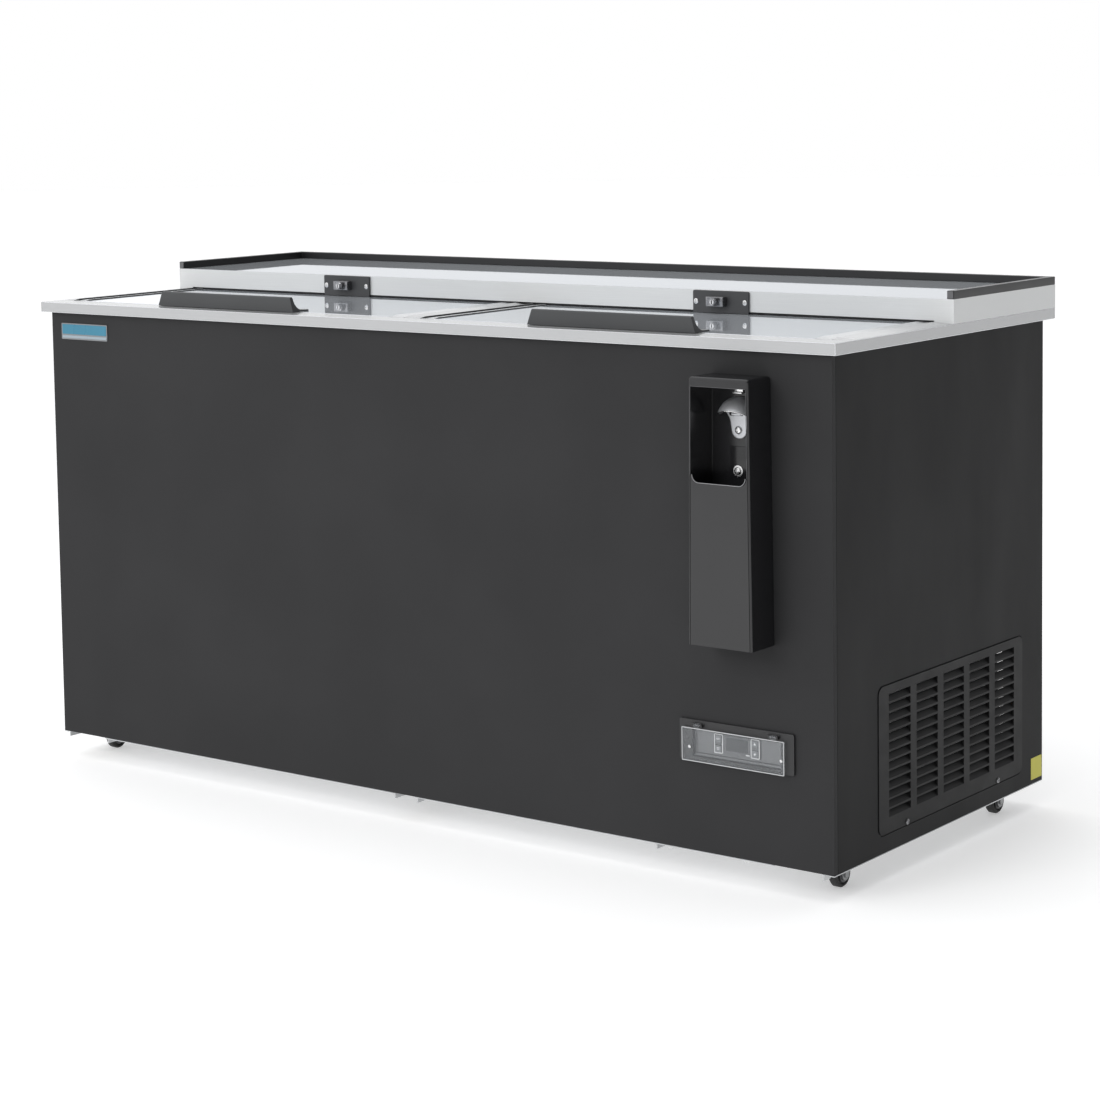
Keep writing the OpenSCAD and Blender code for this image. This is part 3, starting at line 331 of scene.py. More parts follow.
def make_materials():
    """Every finish: those of the record's material slots, and those that only fine pieces have."""
    return {
        "galvanised": zinc("galvanised_steel", (0.60, 0.61, 0.62), 0.38),
        "zinc_bolts": zinc("zinc_bolt_plating", (0.72, 0.73, 0.72), 0.28, 300),
        "black_coating": coated("black_coating", (0.033, 0.033, 0.034), 0.5, Specular_IOR_Level=0.08),
        # a darker copy of the black coating for the side panels: painted shade on the faces turned away from
        # the light
        "side_coating": coated("side_coating", (0.018, 0.018, 0.0185), 0.5, Specular_IOR_Level=0.1),
        # a brighter copy of the stainless for rounded edges: painted highlight along the edges
        "steel_edge": brushed("polished_steel_edge", (0.74, 0.75, 0.77), 0.22, "X", 0.0000004, 0.01),
        # lighter, glossier edges on black parts: painted highlight, with a lower roughness
        "dark_edge": coated("worn_edge", (0.085, 0.085, 0.09), 0.25, 900, 0.00001, 0.05),
        # a grey bead much lighter than the catcher's coating: painted highlight along the recess
        "bead": coated("bright_bead", (0.30, 0.30, 0.31), 0.25, 900, 0.00001),
        "lock_steel": zinc("lock_case_steel", (0.30, 0.30, 0.31), 0.26, 900),
        # flat black for keyways and hollows that aren't cut: painted shade
        "keyway": moulded("keyway_black", (0.008, 0.008, 0.008), 0.6),
        # opaque light grey for the clear cover's outline: painted highlight on its edges
        "cover_edge": moulded("cover_edge_plastic", (0.58, 0.59, 0.60), 0.25),
        "foam": cellular("poured_foam", (0.76, 0.66, 0.40)),
        "liner_metal": brushed("liner_aluminium", (0.72, 0.73, 0.74), 0.34, "Z", 0.00003),
        "stainless": brushed("brushed_stainless", (0.47, 0.475, 0.48), 0.2, "X", 0.0000005, 0.015, 0.45),
        # polished top of the rear housing with a bluish base and specular tint: the polish is real, the tint
        # is painted reflection of the sky
        "housing_top": brushed("polished_housing_top", (0.54, 0.565, 0.59), 0.03, "X", 0.0000003, 0.01, 0.46,
                               Specular_IOR_Level=0.05, Specular_Tint=(0.5, 0.53, 0.57, 1)),
        # a brighter, less metallic copy of the stainless for the rear housing: partly a rougher finish,
        # partly painted light
        "housing_stainless": brushed("housing_stainless", (0.68, 0.69, 0.69), 0.34, "X", 0.0000005, 0.015,
                                     0.22),
        "lid_stainless": brushed("polished_lid_stainless", (0.68, 0.715, 0.76), 0.03, "X", 0.0000003, 0.01,
                                 0.5),
        "track_aluminium": brushed("track_aluminium", (0.50, 0.51, 0.52), 0.2, "Y", 0.0000005, 0.01, 0.5),
        "seal_rubber": moulded("seal_rubber", (0.012, 0.012, 0.013), 0.7),
        "core_foam": moulded("lid_pan_plastic", (0.72, 0.72, 0.70), 0.5),
        "rail_coating": coated("rail_coating", (0.012, 0.012, 0.013), 0.36, 600),
        "charcoal_plate": coated("lock_plate_coating", (0.045, 0.046, 0.048), 0.4, 1500),
        "screw_steel": zinc("screw_steel", (0.80, 0.80, 0.80), 0.2, 500),
        "grille_coating": moulded("grille_plastic", (0.011, 0.011, 0.0115), 0.5, Specular_IOR_Level=0.2),
        "bezel_plastic": moulded("bezel_plastic", (0.020, 0.020, 0.021), 0.45),
        "control_face": brushed("control_face", (0.19, 0.195, 0.20), 0.4, "X"),
        "controller_plastic": moulded("controller_plastic", (0.10, 0.105, 0.11), 0.3),
        "catcher_coating": coated("catcher_coating", (0.013, 0.013, 0.0142), 0.2, 700, 0.000006, 0.04,
                                  Specular_IOR_Level=0.55),
        "cast_chrome": zinc("cast_opener_metal", (0.62, 0.63, 0.65), 0.36, 700, metallic=0.72),
        "badge": brushed("badge_metal", (0.26, 0.27, 0.28), 0.35, "X"),
        "compressor_paint": coated("compressor_paint", (0.012, 0.012, 0.013), 0.3),
        "fin_aluminium": brushed("fin_aluminium", (0.70, 0.71, 0.72), 0.4, "Z"),
        "motor_paint": coated("motor_paint", (0.09, 0.09, 0.095), 0.45),
        "copper": brushed("copper_pipe", (0.72, 0.36, 0.22), 0.3, "Z"),
        "pan_plastic": moulded("pan_plastic", (0.02, 0.02, 0.02), 0.55),
        "rack_coating": coated("rack_coating", (0.30, 0.31, 0.32), 0.42),
        "cover_plastic": clear_cover("clear_cover_plastic"),
        "fan_plastic": moulded("fan_plastic", (0.02, 0.02, 0.021), 0.45),
        "handle_plastic": coated("handle_coating", (0.045, 0.047, 0.049), 0.33, 1500, 0.00002),
        "nylon": moulded("nylon", (0.72, 0.70, 0.62), 0.45),
        "lock_chrome": zinc("lock_chrome", (0.75, 0.75, 0.76), 0.18, 600),
        "key_plastic": moulded("key_plastic", (0.18, 0.19, 0.20), 0.4),
        "zinc_fork": zinc("zinc_fork", (0.30, 0.305, 0.31), 0.33, 200),
        "wheel_rubber": moulded("wheel_rubber", (0.022, 0.022, 0.022), 0.6),
        "badge_blue": coated("badge_blue_enamel", (0.035, 0.20, 0.30), 0.3, 1500, 0.00002),
        "badge_grey": coated("badge_grey_enamel", (0.30, 0.36, 0.40), 0.35, 1500, 0.00002),
        "label_yellow": coated("label_yellow_film", (0.62, 0.58, 0.06), 0.45, 1500, 0.00002),
        "print_white": coated("printed_white", (0.84, 0.85, 0.86), 0.5, 1500, 0.00001),
        "display_glass": moulded("display_glass", (0.03, 0.032, 0.035), 0.12, 500, 0.00001),
        "rail_cap": moulded("rail_cap_plastic", (0.12, 0.12, 0.125), 0.4),
        "hub_plastic": moulded("hub_plastic", (0.10, 0.10, 0.105), 0.45),
    }


# ---------------------------------------------------------------- mesh helpers

def new_object(name, bm, smooth_angle=None):
    """An object from a bmesh, which is used up."""
    mesh = bpy.data.meshes.new(name)
    bm.to_mesh(mesh)
    bm.free()
    obj = bpy.data.objects.new(name, mesh)
    bpy.context.scene.collection.objects.link(obj)
    if smooth_angle is not None:
        mesh.polygons.foreach_set("use_smooth", [True] * len(mesh.polygons))
        mesh.set_sharp_from_angle(angle=math.radians(smooth_angle))
    return obj


def finish_piece(obj, body, slot, mat=None):
    """Gives a piece its finish, the one of its material slot unless another is given, and its body."""
    obj.data.materials.clear()
    obj.data.materials.append(mat or MATERIALS[slot])
    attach(obj, body)
    return obj


def node_body(node):
    return frame["nodes"][node].parent.name.split(":", 1)[1]


def node_slot(node):
    rows = frame["record"]["subparts"]
    return next(row["material_slot"] for row in rows if row["node"] == node)


def bake(obj):
    """Applies a new object's modifiers."""
    old = obj.data
    graph = bpy.context.evaluated_depsgraph_get()
    obj.data = bpy.data.meshes.new_from_object(obj.evaluated_get(graph))
    obj.modifiers.clear()
    bpy.data.meshes.remove(old)
    return obj


def shade(obj, smooth_angle=40):
    """Smooth shading, with edges kept sharp past an angle."""
    obj.data.polygons.foreach_set("use_smooth", [True] * len(obj.data.polygons))
    obj.data.set_sharp_from_angle(angle=math.radians(smooth_angle))


def bm_of(mesh):
    bm = bmesh.new()
    bm.from_mesh(mesh)
    return bm


def bm_to_mesh(bm):
    mesh = bpy.data.meshes.new("shape")
    bm.to_mesh(mesh)
    bm.free()
    return mesh


def cut_away(obj, cutter):
    """Cuts a second object out of the first and removes it."""
    cut = obj.modifiers.new("cut", "BOOLEAN")
    cut.operation = "DIFFERENCE"
    cut.solver = "EXACT"
    cut.object = cutter
    bake(obj)
    bpy.data.objects.remove(cutter)


def clean_copy(node):
    """The CAD node's shape as a bmesh of plain faces."""
    bm = bmesh.new()
    bm.from_mesh(frame["nodes"][node].data)
    bmesh.ops.remove_doubles(bm, verts=bm.verts, dist=0.00001)
    bmesh.ops.dissolve_limit(bm, angle_limit=math.radians(0.6), verts=bm.verts, edges=bm.edges)
    bm.verts.index_update()
    mesh = bpy.data.meshes.new(node + "_plain")
    mesh.from_pydata([v.co.copy() for v in bm.verts], [], [[v.index for v in f.verts] for f in bm.faces])
    bm.clear()
    bm.from_mesh(mesh)
    bpy.data.meshes.remove(mesh)
    return bm


def rounded(node, width, special=None, segments=2, clamp=True):
    """The CAD node's own shape with its edges rounded, some to a width of their own, in the node's place."""
    bm = clean_copy(node)
    fold = math.radians(25)  # flatter edges stay as they are
    weight = bm.edges.layers.float.new("bevel_weight_edge")
    widths = {edge: (special and special(edge)) or width for edge in bm.edges
              if len(edge.link_faces) == 2 and edge.calc_face_angle() > fold}
    full = max(widths.values())
    for edge, own in widths.items():
        edge[weight] = own / full
    obj = new_object(node + "_finished", bm)
    finish_piece(obj, node_body(node), node_slot(node), node_finish(node))
    bevel = obj.modifiers.new("round", "BEVEL")
    bevel.width = full
    bevel.segments = segments
    bevel.limit_method = "WEIGHT"
    bevel.miter_outer = "MITER_ARC"
    bevel.use_clamp_overlap = clamp
    # the rounded edges get a lighter material: painted highlight along the edges
    if node in EDGE_PAINTED_HIGHLIGHT:
        obj.data.materials.append(MATERIALS[EDGE_PAINTED_HIGHLIGHT[node]])
        bevel.material = 1
    bake(obj)
    shade(obj)
    # faces that look up get a polished finish with a bluish tint: painted reflection of the sky
    if node in TOP_POLISH_AND_SKY_TINT:
        obj.data.materials.append(MATERIALS[TOP_POLISH_AND_SKY_TINT[node]])
        top = len(obj.data.materials) - 1
        for face in obj.data.polygons:
            if face.normal.z > 0.99:
                face.material_index = top
    flat = obj.modifiers.new("flat_faces", "WEIGHTED_NORMAL")
    flat.weight = 100
    flat.keep_sharp = True
    bake(obj)
    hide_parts(node)
    return obj


def lathe(profile, steps=32):
    """A closed solid turned about Z from (radius, height) points."""
    bm = bmesh.new()
    rings = []
    for radius, height in profile:
        if radius == 0:
            rings.append([bm.verts.new((0, 0, height))])
            continue
        turn = [2 * math.pi * k / steps for k in range(steps)]
        rings.append([bm.verts.new((radius * math.cos(t), radius * math.sin(t), height)) for t in turn])
    for low, high in zip(rings, rings[1:]):
        for k in range(steps):
            n = (k + 1) % steps
            if len(low) == 1:
                bm.faces.new((low[0], high[n], high[k]))
            elif len(high) == 1:
                bm.faces.new((low[k], low[n], high[0]))
            else:
                bm.faces.new((low[k], low[n], high[n], high[k]))
    bmesh.ops.recalc_face_normals(bm, faces=bm.faces)
    return bm


def aimed(place, axis):
    """A matrix that puts a piece made about Z at a place, facing along an axis."""
    return Matrix.Translation(place) @ Vector(axis).to_track_quat("Z", "Y").to_matrix().to_4x4()


def gather(name, mesh, matrices, smooth_angle=35):
    """One object from copies of a mesh."""
    bm = bmesh.new()
    for matrix in matrices:
        start = len(bm.verts)
        bm.from_mesh(mesh)
        bm.verts.ensure_lookup_table()
        bmesh.ops.transform(bm, matrix=matrix, verts=bm.verts[start:])
    return new_object(name, bm, smooth_angle)


def slab(low, high, round_by, segments=3):
    """A block with rounded edges."""
    bm = bmesh.new()
    bmesh.ops.create_cube(bm, size=1)
    low, high = Vector(low), Vector(high)
    for v in bm.verts:
        v.co = Vector((a + b) / 2 + c * (b - a) for a, b, c in zip(low, high, v.co))
    bmesh.ops.bevel(bm, geom=bm.edges[:], offset=round_by, segments=segments, profile=0.5, affect="EDGES")
    return bm


def loop_points(width, height, radius, steps=6):
    """The outline of a rounded rectangle about the origin."""
    points = []
    for k, (sx, sz) in enumerate(((1, 1), (-1, 1), (-1, -1), (1, -1))):
        for n in range(steps + 1):
            t = math.pi / 2 * (k + n / steps)
            points.append((sx * (width / 2 - radius) + radius * math.cos(t),
                           sz * (height / 2 - radius) + radius * math.sin(t)))
    return points


def tablet(width, height, radius, thick, edge=0.0, line=0.0):
    """A thin rounded plate about the origin in X and Y, rising from z = 0, or only its rim if line is set."""
    bm = bmesh.new()
    rings = [(0, 0), (0, thick - edge), (edge, thick)]
    if line:
        rings += [(line - edge, thick), (line, thick - edge), (line, 0)]
    loops = []
    for inset, z in rings:
        pts = loop_points(width - 2 * inset, height - 2 * inset, max(radius - inset, 0.0001))
        loops.append([bm.verts.new((x, y, z)) for x, y in pts])
    pairs = list(zip(loops, loops[1:]))
    if line:
        pairs.append((loops[-1], loops[0]))
    for low, high in pairs:
        for k in range(len(low)):
            n = (k + 1) % len(low)
            bm.faces.new((low[k], low[n], high[n], high[k]))
    if not line:
        bm.faces.new(loops[-1])
        bm.faces.new(loops[0])
    bmesh.ops.recalc_face_normals(bm, faces=bm.faces)
    return bm


def put(name, bm, matrix, body, slot, mat=None, smooth_angle=35):
    """A finished piece from a bmesh made about the origin."""
    bm.transform(matrix)
    return finish_piece(new_object(name, bm, smooth_angle), body, slot, mat)


def node_finish(node):
    return MATERIALS[OTHER_FINISH.get(node, node_slot(node))]


def paint_nodes():
    """Every CAD node gets its slot's finish."""
    for node, obj in frame["nodes"].items():
        obj.data.materials.clear()
        obj.data.materials.append(node_finish(node))


# ---------------------------------------------------------------- fine pieces

def middle(node):
    """The centre of a CAD node's box."""
    low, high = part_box(node)
    return (low + high) / 2


def lock_plate_front():
    """Where the front face of the lock plates is, along Y."""
    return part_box("rear_housing")[0].y - PLATE_STAND


def facing_front(x, y, z):
    """Puts a piece made in X and Y onto a front-facing surface."""
    return Matrix.Translation((x, y, z)) @ Matrix.Rotation(math.pi / 2, 4, "X")


def facing_right(x, y, z):
    """Puts a piece made in X and Y onto a right-facing surface."""
    turned = Matrix.Translation((x, y, z)) @ Matrix.Rotation(math.pi / 2, 4, "Z")
    return turned @ Matrix.Rotation(math.pi / 2, 4, "X")


def screw_mesh(radius, height, washer=0.0):
    """A pan head with a cross recess, seated at z = 0."""
    base = height * 0.25 if washer else 0.0
    profile = [(0, 0)]
    if washer:
        profile += [(washer, 0), (washer, base * 0.7), (washer - base * 0.3, base), (radius, base)]
    else:
        profile += [(radius, 0)]
    dome = [(0, 0.0), (0.0, 0.45), (0.12, 0.75), (0.35, 0.93), (0.65, 1.0)]
    profile += [(radius * (1 - inset), base + (height - base) * rise) for inset, rise in dome[1:]]
    profile += [(0, height)]
    head = new_object("screw_head_shape", lathe(profile))
    bar = radius * 0.17
    for name, size in (("bar_x", (radius * 0.62, bar)), ("bar_y", (bar, radius * 0.62))):
        slot = slab((-size[0], -size[1], height * 0.45), (*size, height * 1.3), bar * 0.2, 1)
        cut_away(head, new_object(name, slot))
    mesh = head.data
    bpy.data.objects.remove(head)
    return mesh


def make_panel_screws():
    """Screw heads on both lock plates and at the grille's foot."""
    plate_low, plate_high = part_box("lock_plates")
    screw_low, screw_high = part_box("panel_screws")
    from_end, apart = 6.5 * MM, 94 * MM
    head = screw_mesh(4.5 * MM, 2.0 * MM)
    z = (plate_low.z + plate_high.z) / 2
    reach = (plate_high.x - plate_low.x) / 2 - from_end
    front = lock_plate_front()
    places = [aimed((s * x, front, z), (0, -1, 0)) for s in (-1, 1) for x in (reach, reach - apart)]
    heads = finish_piece(gather("panel_screw_heads", head, places), CABINET, "screw_steel")
    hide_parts("panel_screws")
    grille = middle("side_grille")
    aside = 147 * MM
    places = [aimed((screw_high.x - 2 * MM, grille.y + s * aside, screw_low.z + 4.5 * MM), (1, 0, 0))
              for s in (-1, 1)]
    finish_piece(gather("grille_screw_heads", head, places), CABINET, "screw_steel", MATERIALS["lock_steel"])


def islands(bm):
    """The separate solids in a bmesh, each as its set of vertices."""
    left = set(bm.verts)
    while left:
        group, edge_of = set(), [left.pop()]
        while edge_of:
            v = edge_of.pop()
            group.add(v)
            near = {e.other_vert(v) for e in v.link_edges} & left
            left -= near
            edge_of += near
        yield group


def make_opener():
    """The cast opener with its screws and clip, on a raised strip of the recess."""
    bm = clean_copy("bottle_opener")
    cast = max(islands(bm), key=lambda group: max(v.co.x for v in group) - min(v.co.x for v in group))
    bmesh.ops.delete(bm, geom=[v for v in bm.verts if v not in cast], context="VERTS")
    opener = new_object("opener_cast", bm)
    voxels = opener.modifiers.new("cast", "REMESH")
    voxels.mode = "VOXEL"
    voxels.voxel_size = 0.7 * MM
    soft = opener.modifiers.new("soft", "SMOOTH")
    soft.factor = 0.5
    soft.iterations = 5
    bake(opener)
    low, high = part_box("bottle_opener")
    x, wall = (low.x + high.x) / 2, high.y
    waist, root, half = high.z - 56 * MM, high.z - 39.5 * MM, 16 * MM
    flare = 0.62
    for v in opener.data.vertices:
        if waist < v.co.z < root and abs(v.co.x - x) < half:
            v.co.x = x + (v.co.x - x) * (1 + flare * ((v.co.z - waist) / (root - waist)) ** 2)
    shade(opener, 60)
    finish_piece(opener, CABINET, "cast_chrome")
    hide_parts("bottle_opener")
    put("opener_screw", bm_of(screw_mesh(5.2 * MM, 2.4 * MM)),
        aimed((x, wall - 4.6 * MM, high.z - 68 * MM), (0, -1, 0)), CABINET, "screw_steel")
    put("recess_screw", bm_of(screw_mesh(5.6 * MM, 3.6 * MM, 8.5 * MM)),
        aimed((x - 3 * MM, wall - 1.2 * MM, low.z + 8.5 * MM), (0, -1, 0)), CABINET, "screw_steel")
    lip_z = high.z - 37 * MM
    dome, drop, arch = 33.8 * MM, 15 * MM, 55 * MM
    rim = []
    for k in range(25):
        dx = (k / 12 - 1) * 31.5 * MM
        z = max(lip_z - 8 * MM, lip_z - arch + math.sqrt(arch ** 2 - dx ** 2))
        out = math.sqrt(dome ** 2 - dx ** 2 - (z - lip_z + drop) ** 2)
        rim.append(Vector((x + dx, wall - out, z - 0.4 * MM)))
    # a bead along the lip's front edge in a brighter steel than the cast: painted highlight
    piping("opener_lip", rim, 1.0 * MM, CABINET, "cast_chrome", MATERIALS["screw_steel"], Vector((0, 0, -1)))
    # a flat black tablet in the opener's hollow: painted shade inside it
    put("opener_hollow", tablet(10 * MM, 6.4 * MM, 3.1 * MM, 0.5 * MM, 0.1 * MM),
        facing_front(x - 11.5 * MM, wall - 3.0 * MM, lip_z - 7.5 * MM), CABINET, "cast_chrome",
        MATERIALS["keyway"])
    strip_z = low.z - 3 * MM
    put("recess_strip", slab((x - 17.5 * MM, wall - 1.2 * MM, strip_z), (x + 11.5 * MM, wall + 1 * MM,
        strip_z + 48 * MM), 0.5 * MM), FLUSH, CABINET, "catcher_coating")
    clip, clip_foot = 8 * MM, high.z - 14 * MM
    put("recess_clip", slab((x - clip, wall - 4 * MM, clip_foot), (x + clip, wall, high.z), 1.2 * MM),
        FLUSH, CABINET, "screw_steel")
    put("recess_clip_fold", slab((x - clip, wall - 7.5 * MM, clip_foot), (x + clip, wall - 3 * MM,
        high.z - 11.5 * MM), 0.7 * MM), FLUSH, CABINET, "screw_steel")


def make_badge():
    """A plain plate with a plain blue inset and a grey foot band."""
    low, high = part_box("badge_plate")
    x, z = (low.x + high.x) / 2, (low.z + high.z) / 2
    w, h = high.x - low.x, high.z - low.z
    put("badge_inset", tablet(w - 5 * MM, h * 0.6, 1.5 * MM, 0.4 * MM, 0.15 * MM),
        facing_front(x, low.y + SUNK, z + h * 0.13), CABINET, "badge", MATERIALS["badge_blue"])
    put("badge_foot", tablet(w - 5 * MM, h * 0.16, 1.0 * MM, 0.3 * MM, 0.1 * MM),
        facing_front(x, low.y + SUNK, z - h * 0.33), CABINET, "badge", MATERIALS["badge_grey"])


def make_label():
    """A plain yellow sticker low on the side, near the rear corner."""
    low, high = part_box("right_panel")
    put("side_label", tablet(38 * MM, 36 * MM, 1.5 * MM, 0.25 * MM, 0.1 * MM),
        facing_right(high.x, high.y - 21 * MM, low.z + 25 * MM), CABINET, "badge", MATERIALS["label_yellow"])


def make_control_details():
    """Outlines round the keys, arrows on two keys, the plate's fold and the cover's snap bumps."""
    plate_low, plate_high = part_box("control_plate")
    face_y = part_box("temperature_controller")[0].y
    keys = {name: middle(name) for name in ("key_up", "key_down", "key_set", "key_light")}
    key_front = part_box("key_up")[0].y
    z = (keys["key_up"].z + keys["key_down"].z) / 2
    for name, x in (("left", keys["key_set"].x), ("right", keys["key_up"].x)):
        put("key_outline_" + name, tablet(15.5 * MM, 29.5 * MM, 2 * MM, 0.3 * MM, 0.1 * MM, 1.3 * MM),
            facing_front(x, face_y + SUNK, z), CABINET, "control_face", MATERIALS["print_white"])
    for name, turn in (("key_up", 0), ("key_down", math.pi)):
        arrow = lathe([(0, 0), (2.6 * MM, 0), (2.6 * MM, 0.15 * MM), (2.3 * MM, 0.25 * MM),
                       (0, 0.25 * MM)], 3)
        spin = Matrix.Rotation(turn + math.pi / 2, 4, "Z")
        put(name + "_arrow", arrow, facing_front(keys[name].x, key_front + SUNK, keys[name].z) @ spin,
            name, "key_plastic", MATERIALS["print_white"], 20)
    for name, size in (("key_set", (5.5, 2.2)), ("key_light", (3.6, 3.6))):
        put(name + "_mark", tablet(size[0] * MM, size[1] * MM, 0.8 * MM, 0.25 * MM, 0.08 * MM, 0.7 * MM),
            facing_front(keys[name].x, key_front + SUNK, keys[name].z), name, "key_plastic",
            MATERIALS["print_white"])
    put("display_window", tablet(38 * MM, 20 * MM, 2 * MM, 0.5 * MM, 0.2 * MM),
        facing_front((keys["key_set"].x + keys["key_up"].x) / 2, face_y + SUNK, z + 1 * MM),
        CABINET, "controller_plastic", MATERIALS["display_glass"])
    bar = keys["key_down"] + Vector((-13 * MM, 0, -4 * MM))
    put("print_bar", tablet(7 * MM, 1.6 * MM, 0.6 * MM, 0.3 * MM, 0.1 * MM),
        facing_front(bar.x, face_y + SUNK, bar.z), CABINET, "control_face", MATERIALS["print_white"])
    put("plate_fold", slab((plate_low.x + 1 * MM, plate_low.y - 3 * MM, plate_low.z + 0.5 * MM),
        (plate_high.x - 1 * MM, plate_low.y + 0.5 * MM, plate_low.z + 5.5 * MM), 1.4 * MM),
        FLUSH, CABINET, "control_face")
    cover_low, cover_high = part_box("control_cover")
    cover_front = cover_low.y + 1.7 * MM
    wide, tall = cover_high.x - cover_low.x, 51 * MM
    # a light rim round the clear cover: painted highlight on its edges
    put("cover_rim", tablet(wide, tall, 1.2 * MM, 0.5 * MM, 0.15 * MM, 1.1 * MM),
        facing_front((cover_low.x + cover_high.x) / 2, cover_front + 0.1 * MM, cover_low.z + tall / 2),
        "control_cover", "cover_plastic", MATERIALS["cover_edge"])
    dome = bm_to_mesh(lathe([(0, 0), (2.6 * MM, 0), (2.5 * MM, 0.6 * MM), (1.9 * MM, 1.2 * MM),
                             (0, 1.6 * MM)]))
    snaps = [aimed((x, cover_front, cover_low.z + 22 * MM), (0, -1, 0))
             for x in (cover_low.x + 14 * MM, cover_high.x - 5 * MM)]
    finish_piece(gather("cover_snaps", dome, snaps), "control_cover", "screw_steel")


def piping(name, points, radius, body, slot, mat, out=Vector((0, -1, 0))):
    """A fine round bead along a path whose plane faces out."""
    bm = bmesh.new()
    rings = []
    for k, point in enumerate(points):
        before, after = points[max(k - 1, 0)], points[min(k + 1, len(points) - 1)]
        along = (after - before).normalized()
        side = along.cross(out).normalized()
        turn = [math.pi * n / 4 for n in range(8)]
        rings.append([bm.verts.new(point + (out * math.cos(t) + side * math.sin(t)) * radius) for t in turn])
    for low, high in zip(rings, rings[1:]):
        for k in range(8):
            bm.faces.new((low[k], low[(k + 1) % 8], high[(k + 1) % 8], high[k]))
    bm.faces.new(rings[0])
    bm.faces.new(rings[-1])
    bmesh.ops.recalc_face_normals(bm, faces=bm.faces)
    put(name, bm, FLUSH, body, slot, mat, 60)


def catcher_rounding():
    """A test that gives the catcher's top edges a wide rounding, and those down its front a narrower one."""
    low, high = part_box("catcher_housing")
    reach, centre = (high.x - low.x) / 2, (high.x + low.x) / 2

    def outer(point):
        lean = 4 * MM * (point.z - low.z) / (high.z - low.z)
        return abs(point.x - centre) > reach - lean - 1.5 * MM

    def width(edge):
        ends = [v.co for v in edge.verts]
        if all(p.z > high.z - 1 * MM and p.y < high.y - 1 * MM for p in ends):
            return 5 * MM
        if all(p.z > high.z - 1 * MM and outer(p) for p in ends):
            return 5 * MM
        if all(p.y < low.y + 0.5 * MM and outer(p) for p in ends):
            return 2.6 * MM
        return None

    return width


def make_recess_edges():
    """The bead round the catcher's recess, lighter than the coating as painted highlight: its head on the
    housing, its foot on the bin.
    """
    low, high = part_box("catcher_housing")
    centre = (low.x + high.x) / 2
    bin_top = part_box("catcher_bin")[1].z
    foot, head = bin_top - 11.5 * MM, high.z - 14 * MM
    radius, reach = 12 * MM, 48 * MM

    def half(z):
        return reach + 4 * MM * (high.z - z) / (high.z - low.z)

    y = low.y + 0.1 * MM
    piping("recess_bead_head", [Vector((centre - half(bin_top), y, bin_top + 0.6 * MM)),
        Vector((centre - half(head), y, head - 0.8 * MM)), Vector((centre - half(head) + 0.8 * MM, y, head)),
        Vector((centre + half(head) - 0.8 * MM, y, head)), Vector((centre + half(head), y, head - 0.8 * MM)),
        Vector((centre + half(bin_top), y, bin_top + 0.6 * MM))], 0.45 * MM, CABINET, "catcher_coating",
        MATERIALS["dark_edge"])
    across = half(foot) - 3.2 * MM - radius
    left = [Vector((centre - across - radius * math.cos(t), y, foot + radius - radius * math.sin(t)))
            for t in (math.pi / 16 * n for n in range(9))]
    right = [Vector((2 * centre - p.x, p.y, p.z)) for p in reversed(left)]
    piping("recess_bead_foot", left + right, 0.5 * MM, "catcher_bin", "catcher_coating", MATERIALS["bead"])


def make_locks():
    """A steel case round each lock, a turned face with a keyway on each plunger."""
    for side in ("left", "right"):
        low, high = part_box("lock_plunger_" + side)
        x, z, radius = (low.x + high.x) / 2, (low.z + high.z) / 2, (high.x - low.x) / 2
        plate_front = lock_plate_front()
        case = slab((x - 16.7 * MM, plate_front - 12.2 * MM, z - 8.0 * MM),
                    (x + 16.7 * MM, plate_front + 0.2 * MM, z + 8.0 * MM), 1.2 * MM)
        case_obj = put("lock_case_" + side, case, FLUSH, CABINET, "charcoal_plate",
                       MATERIALS["lock_steel"])
        hole = new_object("lock_hole", lathe([(0, -20 * MM), (radius + 0.5 * MM, -20 * MM),
                                              (radius + 0.5 * MM, 20 * MM), (0, 20 * MM)], 48))
        hole.matrix_world = aimed((x, plate_front - 12 * MM, z), (0, -1, 0))
        bpy.context.view_layer.update()
        cut_away(case_obj, hole)
        rim = [(radius * 0.93, 0), (radius * 0.97, 0.3 * MM), (radius * 0.9, 0.6 * MM),
               (radius * 0.74, 0.6 * MM), (radius * 0.66, 0.15 * MM), (radius * 0.66, 0), (radius * 0.93, 0)]
        put("lock_rim_" + side, lathe(rim, 48), aimed((x, low.y + 0.1 * MM, z), (0, -1, 0)),
            "lock_plunger_" + side, "lock_chrome", MATERIALS["lock_steel"])
        # a flat black tablet on each plunger for its keyway: painted shade of the slot
        put("lock_keyway_" + side, tablet(2.0 * MM, 6.4 * MM, 0.9 * MM, 0.25 * MM, 0.05 * MM),
            facing_front(x, low.y + SUNK, z), "lock_plunger_" + side, "lock_chrome", MATERIALS["keyway"])


def ridge(profile, base, y1, y2):
    """A bar along Y with an (x, z) profile, whose front end ramps up from a base height."""
    bm = bmesh.new()
    rings = [[bm.verts.new((x, y, base + (z - base) * full)) for x, z in profile]
             for y, full in ((y1, 0.12), (y1 + 14 * MM, 1), (y2, 1))]
    for near, far in zip(rings, rings[1:]):
        for k in range(len(profile)):
            n = (k + 1) % len(profile)
            bm.faces.new((near[k], near[n], far[n], far[k]))
    bm.faces.new(rings[0])
    bm.faces.new(rings[-1])
    bmesh.ops.recalc_face_normals(bm, faces=bm.faces)
    return bm


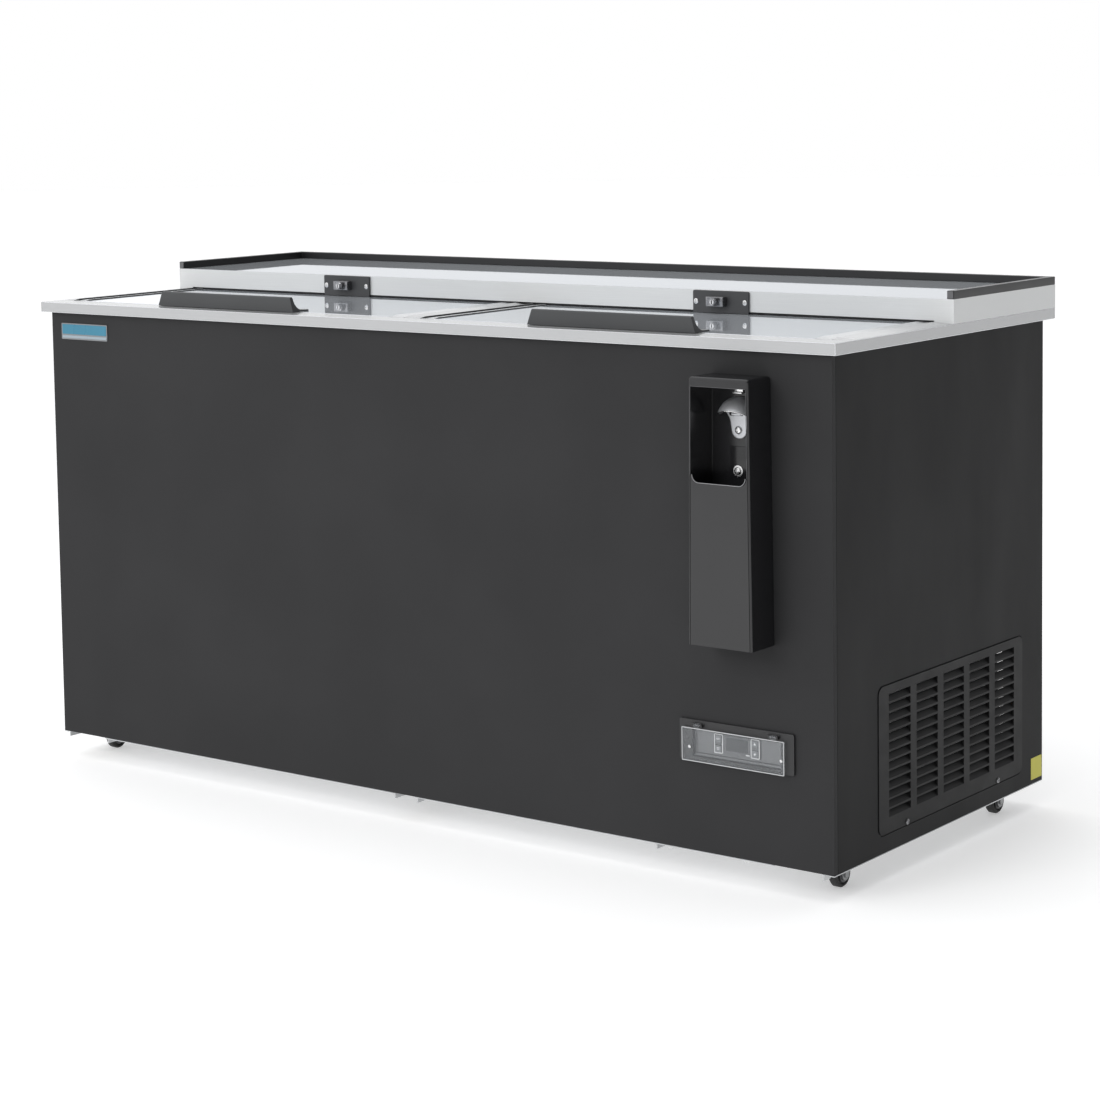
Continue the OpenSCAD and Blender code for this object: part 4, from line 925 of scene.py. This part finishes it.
def make_lid_edges():
    """Low formed edges beside each lid and its tracks, each with a thin dark strip on its upright side that
    is painted shade.
    """
    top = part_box("worktop")[1].z
    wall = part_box("rear_housing")[0].y - 0.3 * MM
    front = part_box("lid_skin_left")[0].y + 0.5 * MM
    lid_low, lid_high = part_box("lid_skin_right")
    inner, outer = DIVIDER_HALF, lid_high.x + TRACK_STRIP
    gap = 0.6 * MM  # between a lid's end and its track's edge
    for side, s in (("left", -1), ("right", 1)):
        edges = (
            ("divider", inner, 1, 2.6, 16.5, "stainless"),
            ("inner_track", lid_low.x - gap, 1, 2.2, 26, "track_aluminium"),
            ("outer_track", lid_high.x + gap, -1, 2.2, 26, "track_aluminium"),
            ("border", outer, -1, 2.6, 31, "stainless"),
        )
        for name, x, faces, rise, run, slot in edges:
            back = x - faces * run * MM
            crest = x - faces * 0.5 * MM
            rise_to = top + rise * MM
            edge = ((x, top - 0.2 * MM), (x, rise_to - 0.3 * MM), (crest, rise_to), (back, top + 0.05 * MM),
                    (back, top - 0.2 * MM))
            inside, outside = x - faces * 0.05 * MM, x + faces * 0.35 * MM
            # a thin dark strip on the upright side of each edge: painted shade of that side
            wiper = ((inside, top - 0.2 * MM), (inside, rise_to - 0.4 * MM), (outside, rise_to - 0.5 * MM),
                     (outside, top - 0.2 * MM))
            for piece, profile, finish in (("edge", edge, slot), ("wiper", wiper, "seal_rubber")):
                bar = ridge([(s * a, z) for a, z in profile], top, front, wall)
                put(f"{name}_{piece}_{side}", bar, FLUSH, CABINET, finish, None, 20)


def make_rail_ends():
    """Flat caps on the front ends of the guard rail."""
    low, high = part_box("guard_rail")
    for side, x in (("left", low.x + 6 * MM), ("right", high.x - 6 * MM)):
        put("rail_end_" + side, tablet(10 * MM, 11 * MM, 1.5 * MM, 0.4 * MM, 0.15 * MM),
            facing_front(x, low.y, (low.z + high.z) / 2), CABINET, "rail_coating", MATERIALS["rail_cap"])


def make_wheel_hubs():
    """A ribbed hub on both faces of each wheel."""
    for corner in ("fl", "fr", "rl", "rr"):
        low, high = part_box("caster_wheel_" + corner)
        centre, radius = (low + high) / 2, (high.z - low.z) / 2
        hub = bm_to_mesh(lathe([
            (radius * 0.2, 0), (radius * 0.62, 0), (radius * 0.62, 0.3 * MM), (radius * 0.56, 0.5 * MM),
            (radius * 0.5, 0.25 * MM), (radius * 0.3, 0.25 * MM), (radius * 0.27, 0.6 * MM),
            (radius * 0.2, 0.6 * MM), (radius * 0.2, 0),
        ], 40))
        sides = [aimed((x, centre.y, centre.z), (s, 0, 0)) for x, s in ((low.x, -1), (high.x, 1))]
        finish_piece(gather("wheel_hub_" + corner, hub, sides), "caster_wheel_" + corner, "wheel_rubber",
                     MATERIALS["hub_plastic"])


def make_inlet_pins():
    """Three pins inside the mains inlet."""
    low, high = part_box("power_inlet")
    x, z = (low.x + high.x) / 2, (low.z + high.z) / 2
    for k, (dx, dz) in enumerate(((-3.5, -3.5), (3.5, -3.5), (0, 4.0))):
        put(f"inlet_pin_{k}", slab((x + dx * MM - 1 * MM, high.y - 20 * MM, z + dz * MM - 2 * MM),
            (x + dx * MM + 1 * MM, high.y - 7 * MM, z + dz * MM + 2 * MM), 0.4 * MM, 2),
            FLUSH, CABINET, "screw_steel")


# ---------------------------------------------------------------- run

make_camera()
make_floor()
make_world()
make_lights()
MATERIALS = make_materials()
paint_nodes()

for node_name, rounding in EDGE_ROUNDING.items():
    rounded(node_name, rounding * MM)
rounded("catcher_housing", 0.6 * MM, catcher_rounding(), 5, clamp=False)
make_recess_edges()
make_locks()
make_panel_screws()
make_opener()
make_badge()
make_label()
make_control_details()
make_lid_edges()
make_rail_ends()
make_wheel_hubs()
make_inlet_pins()
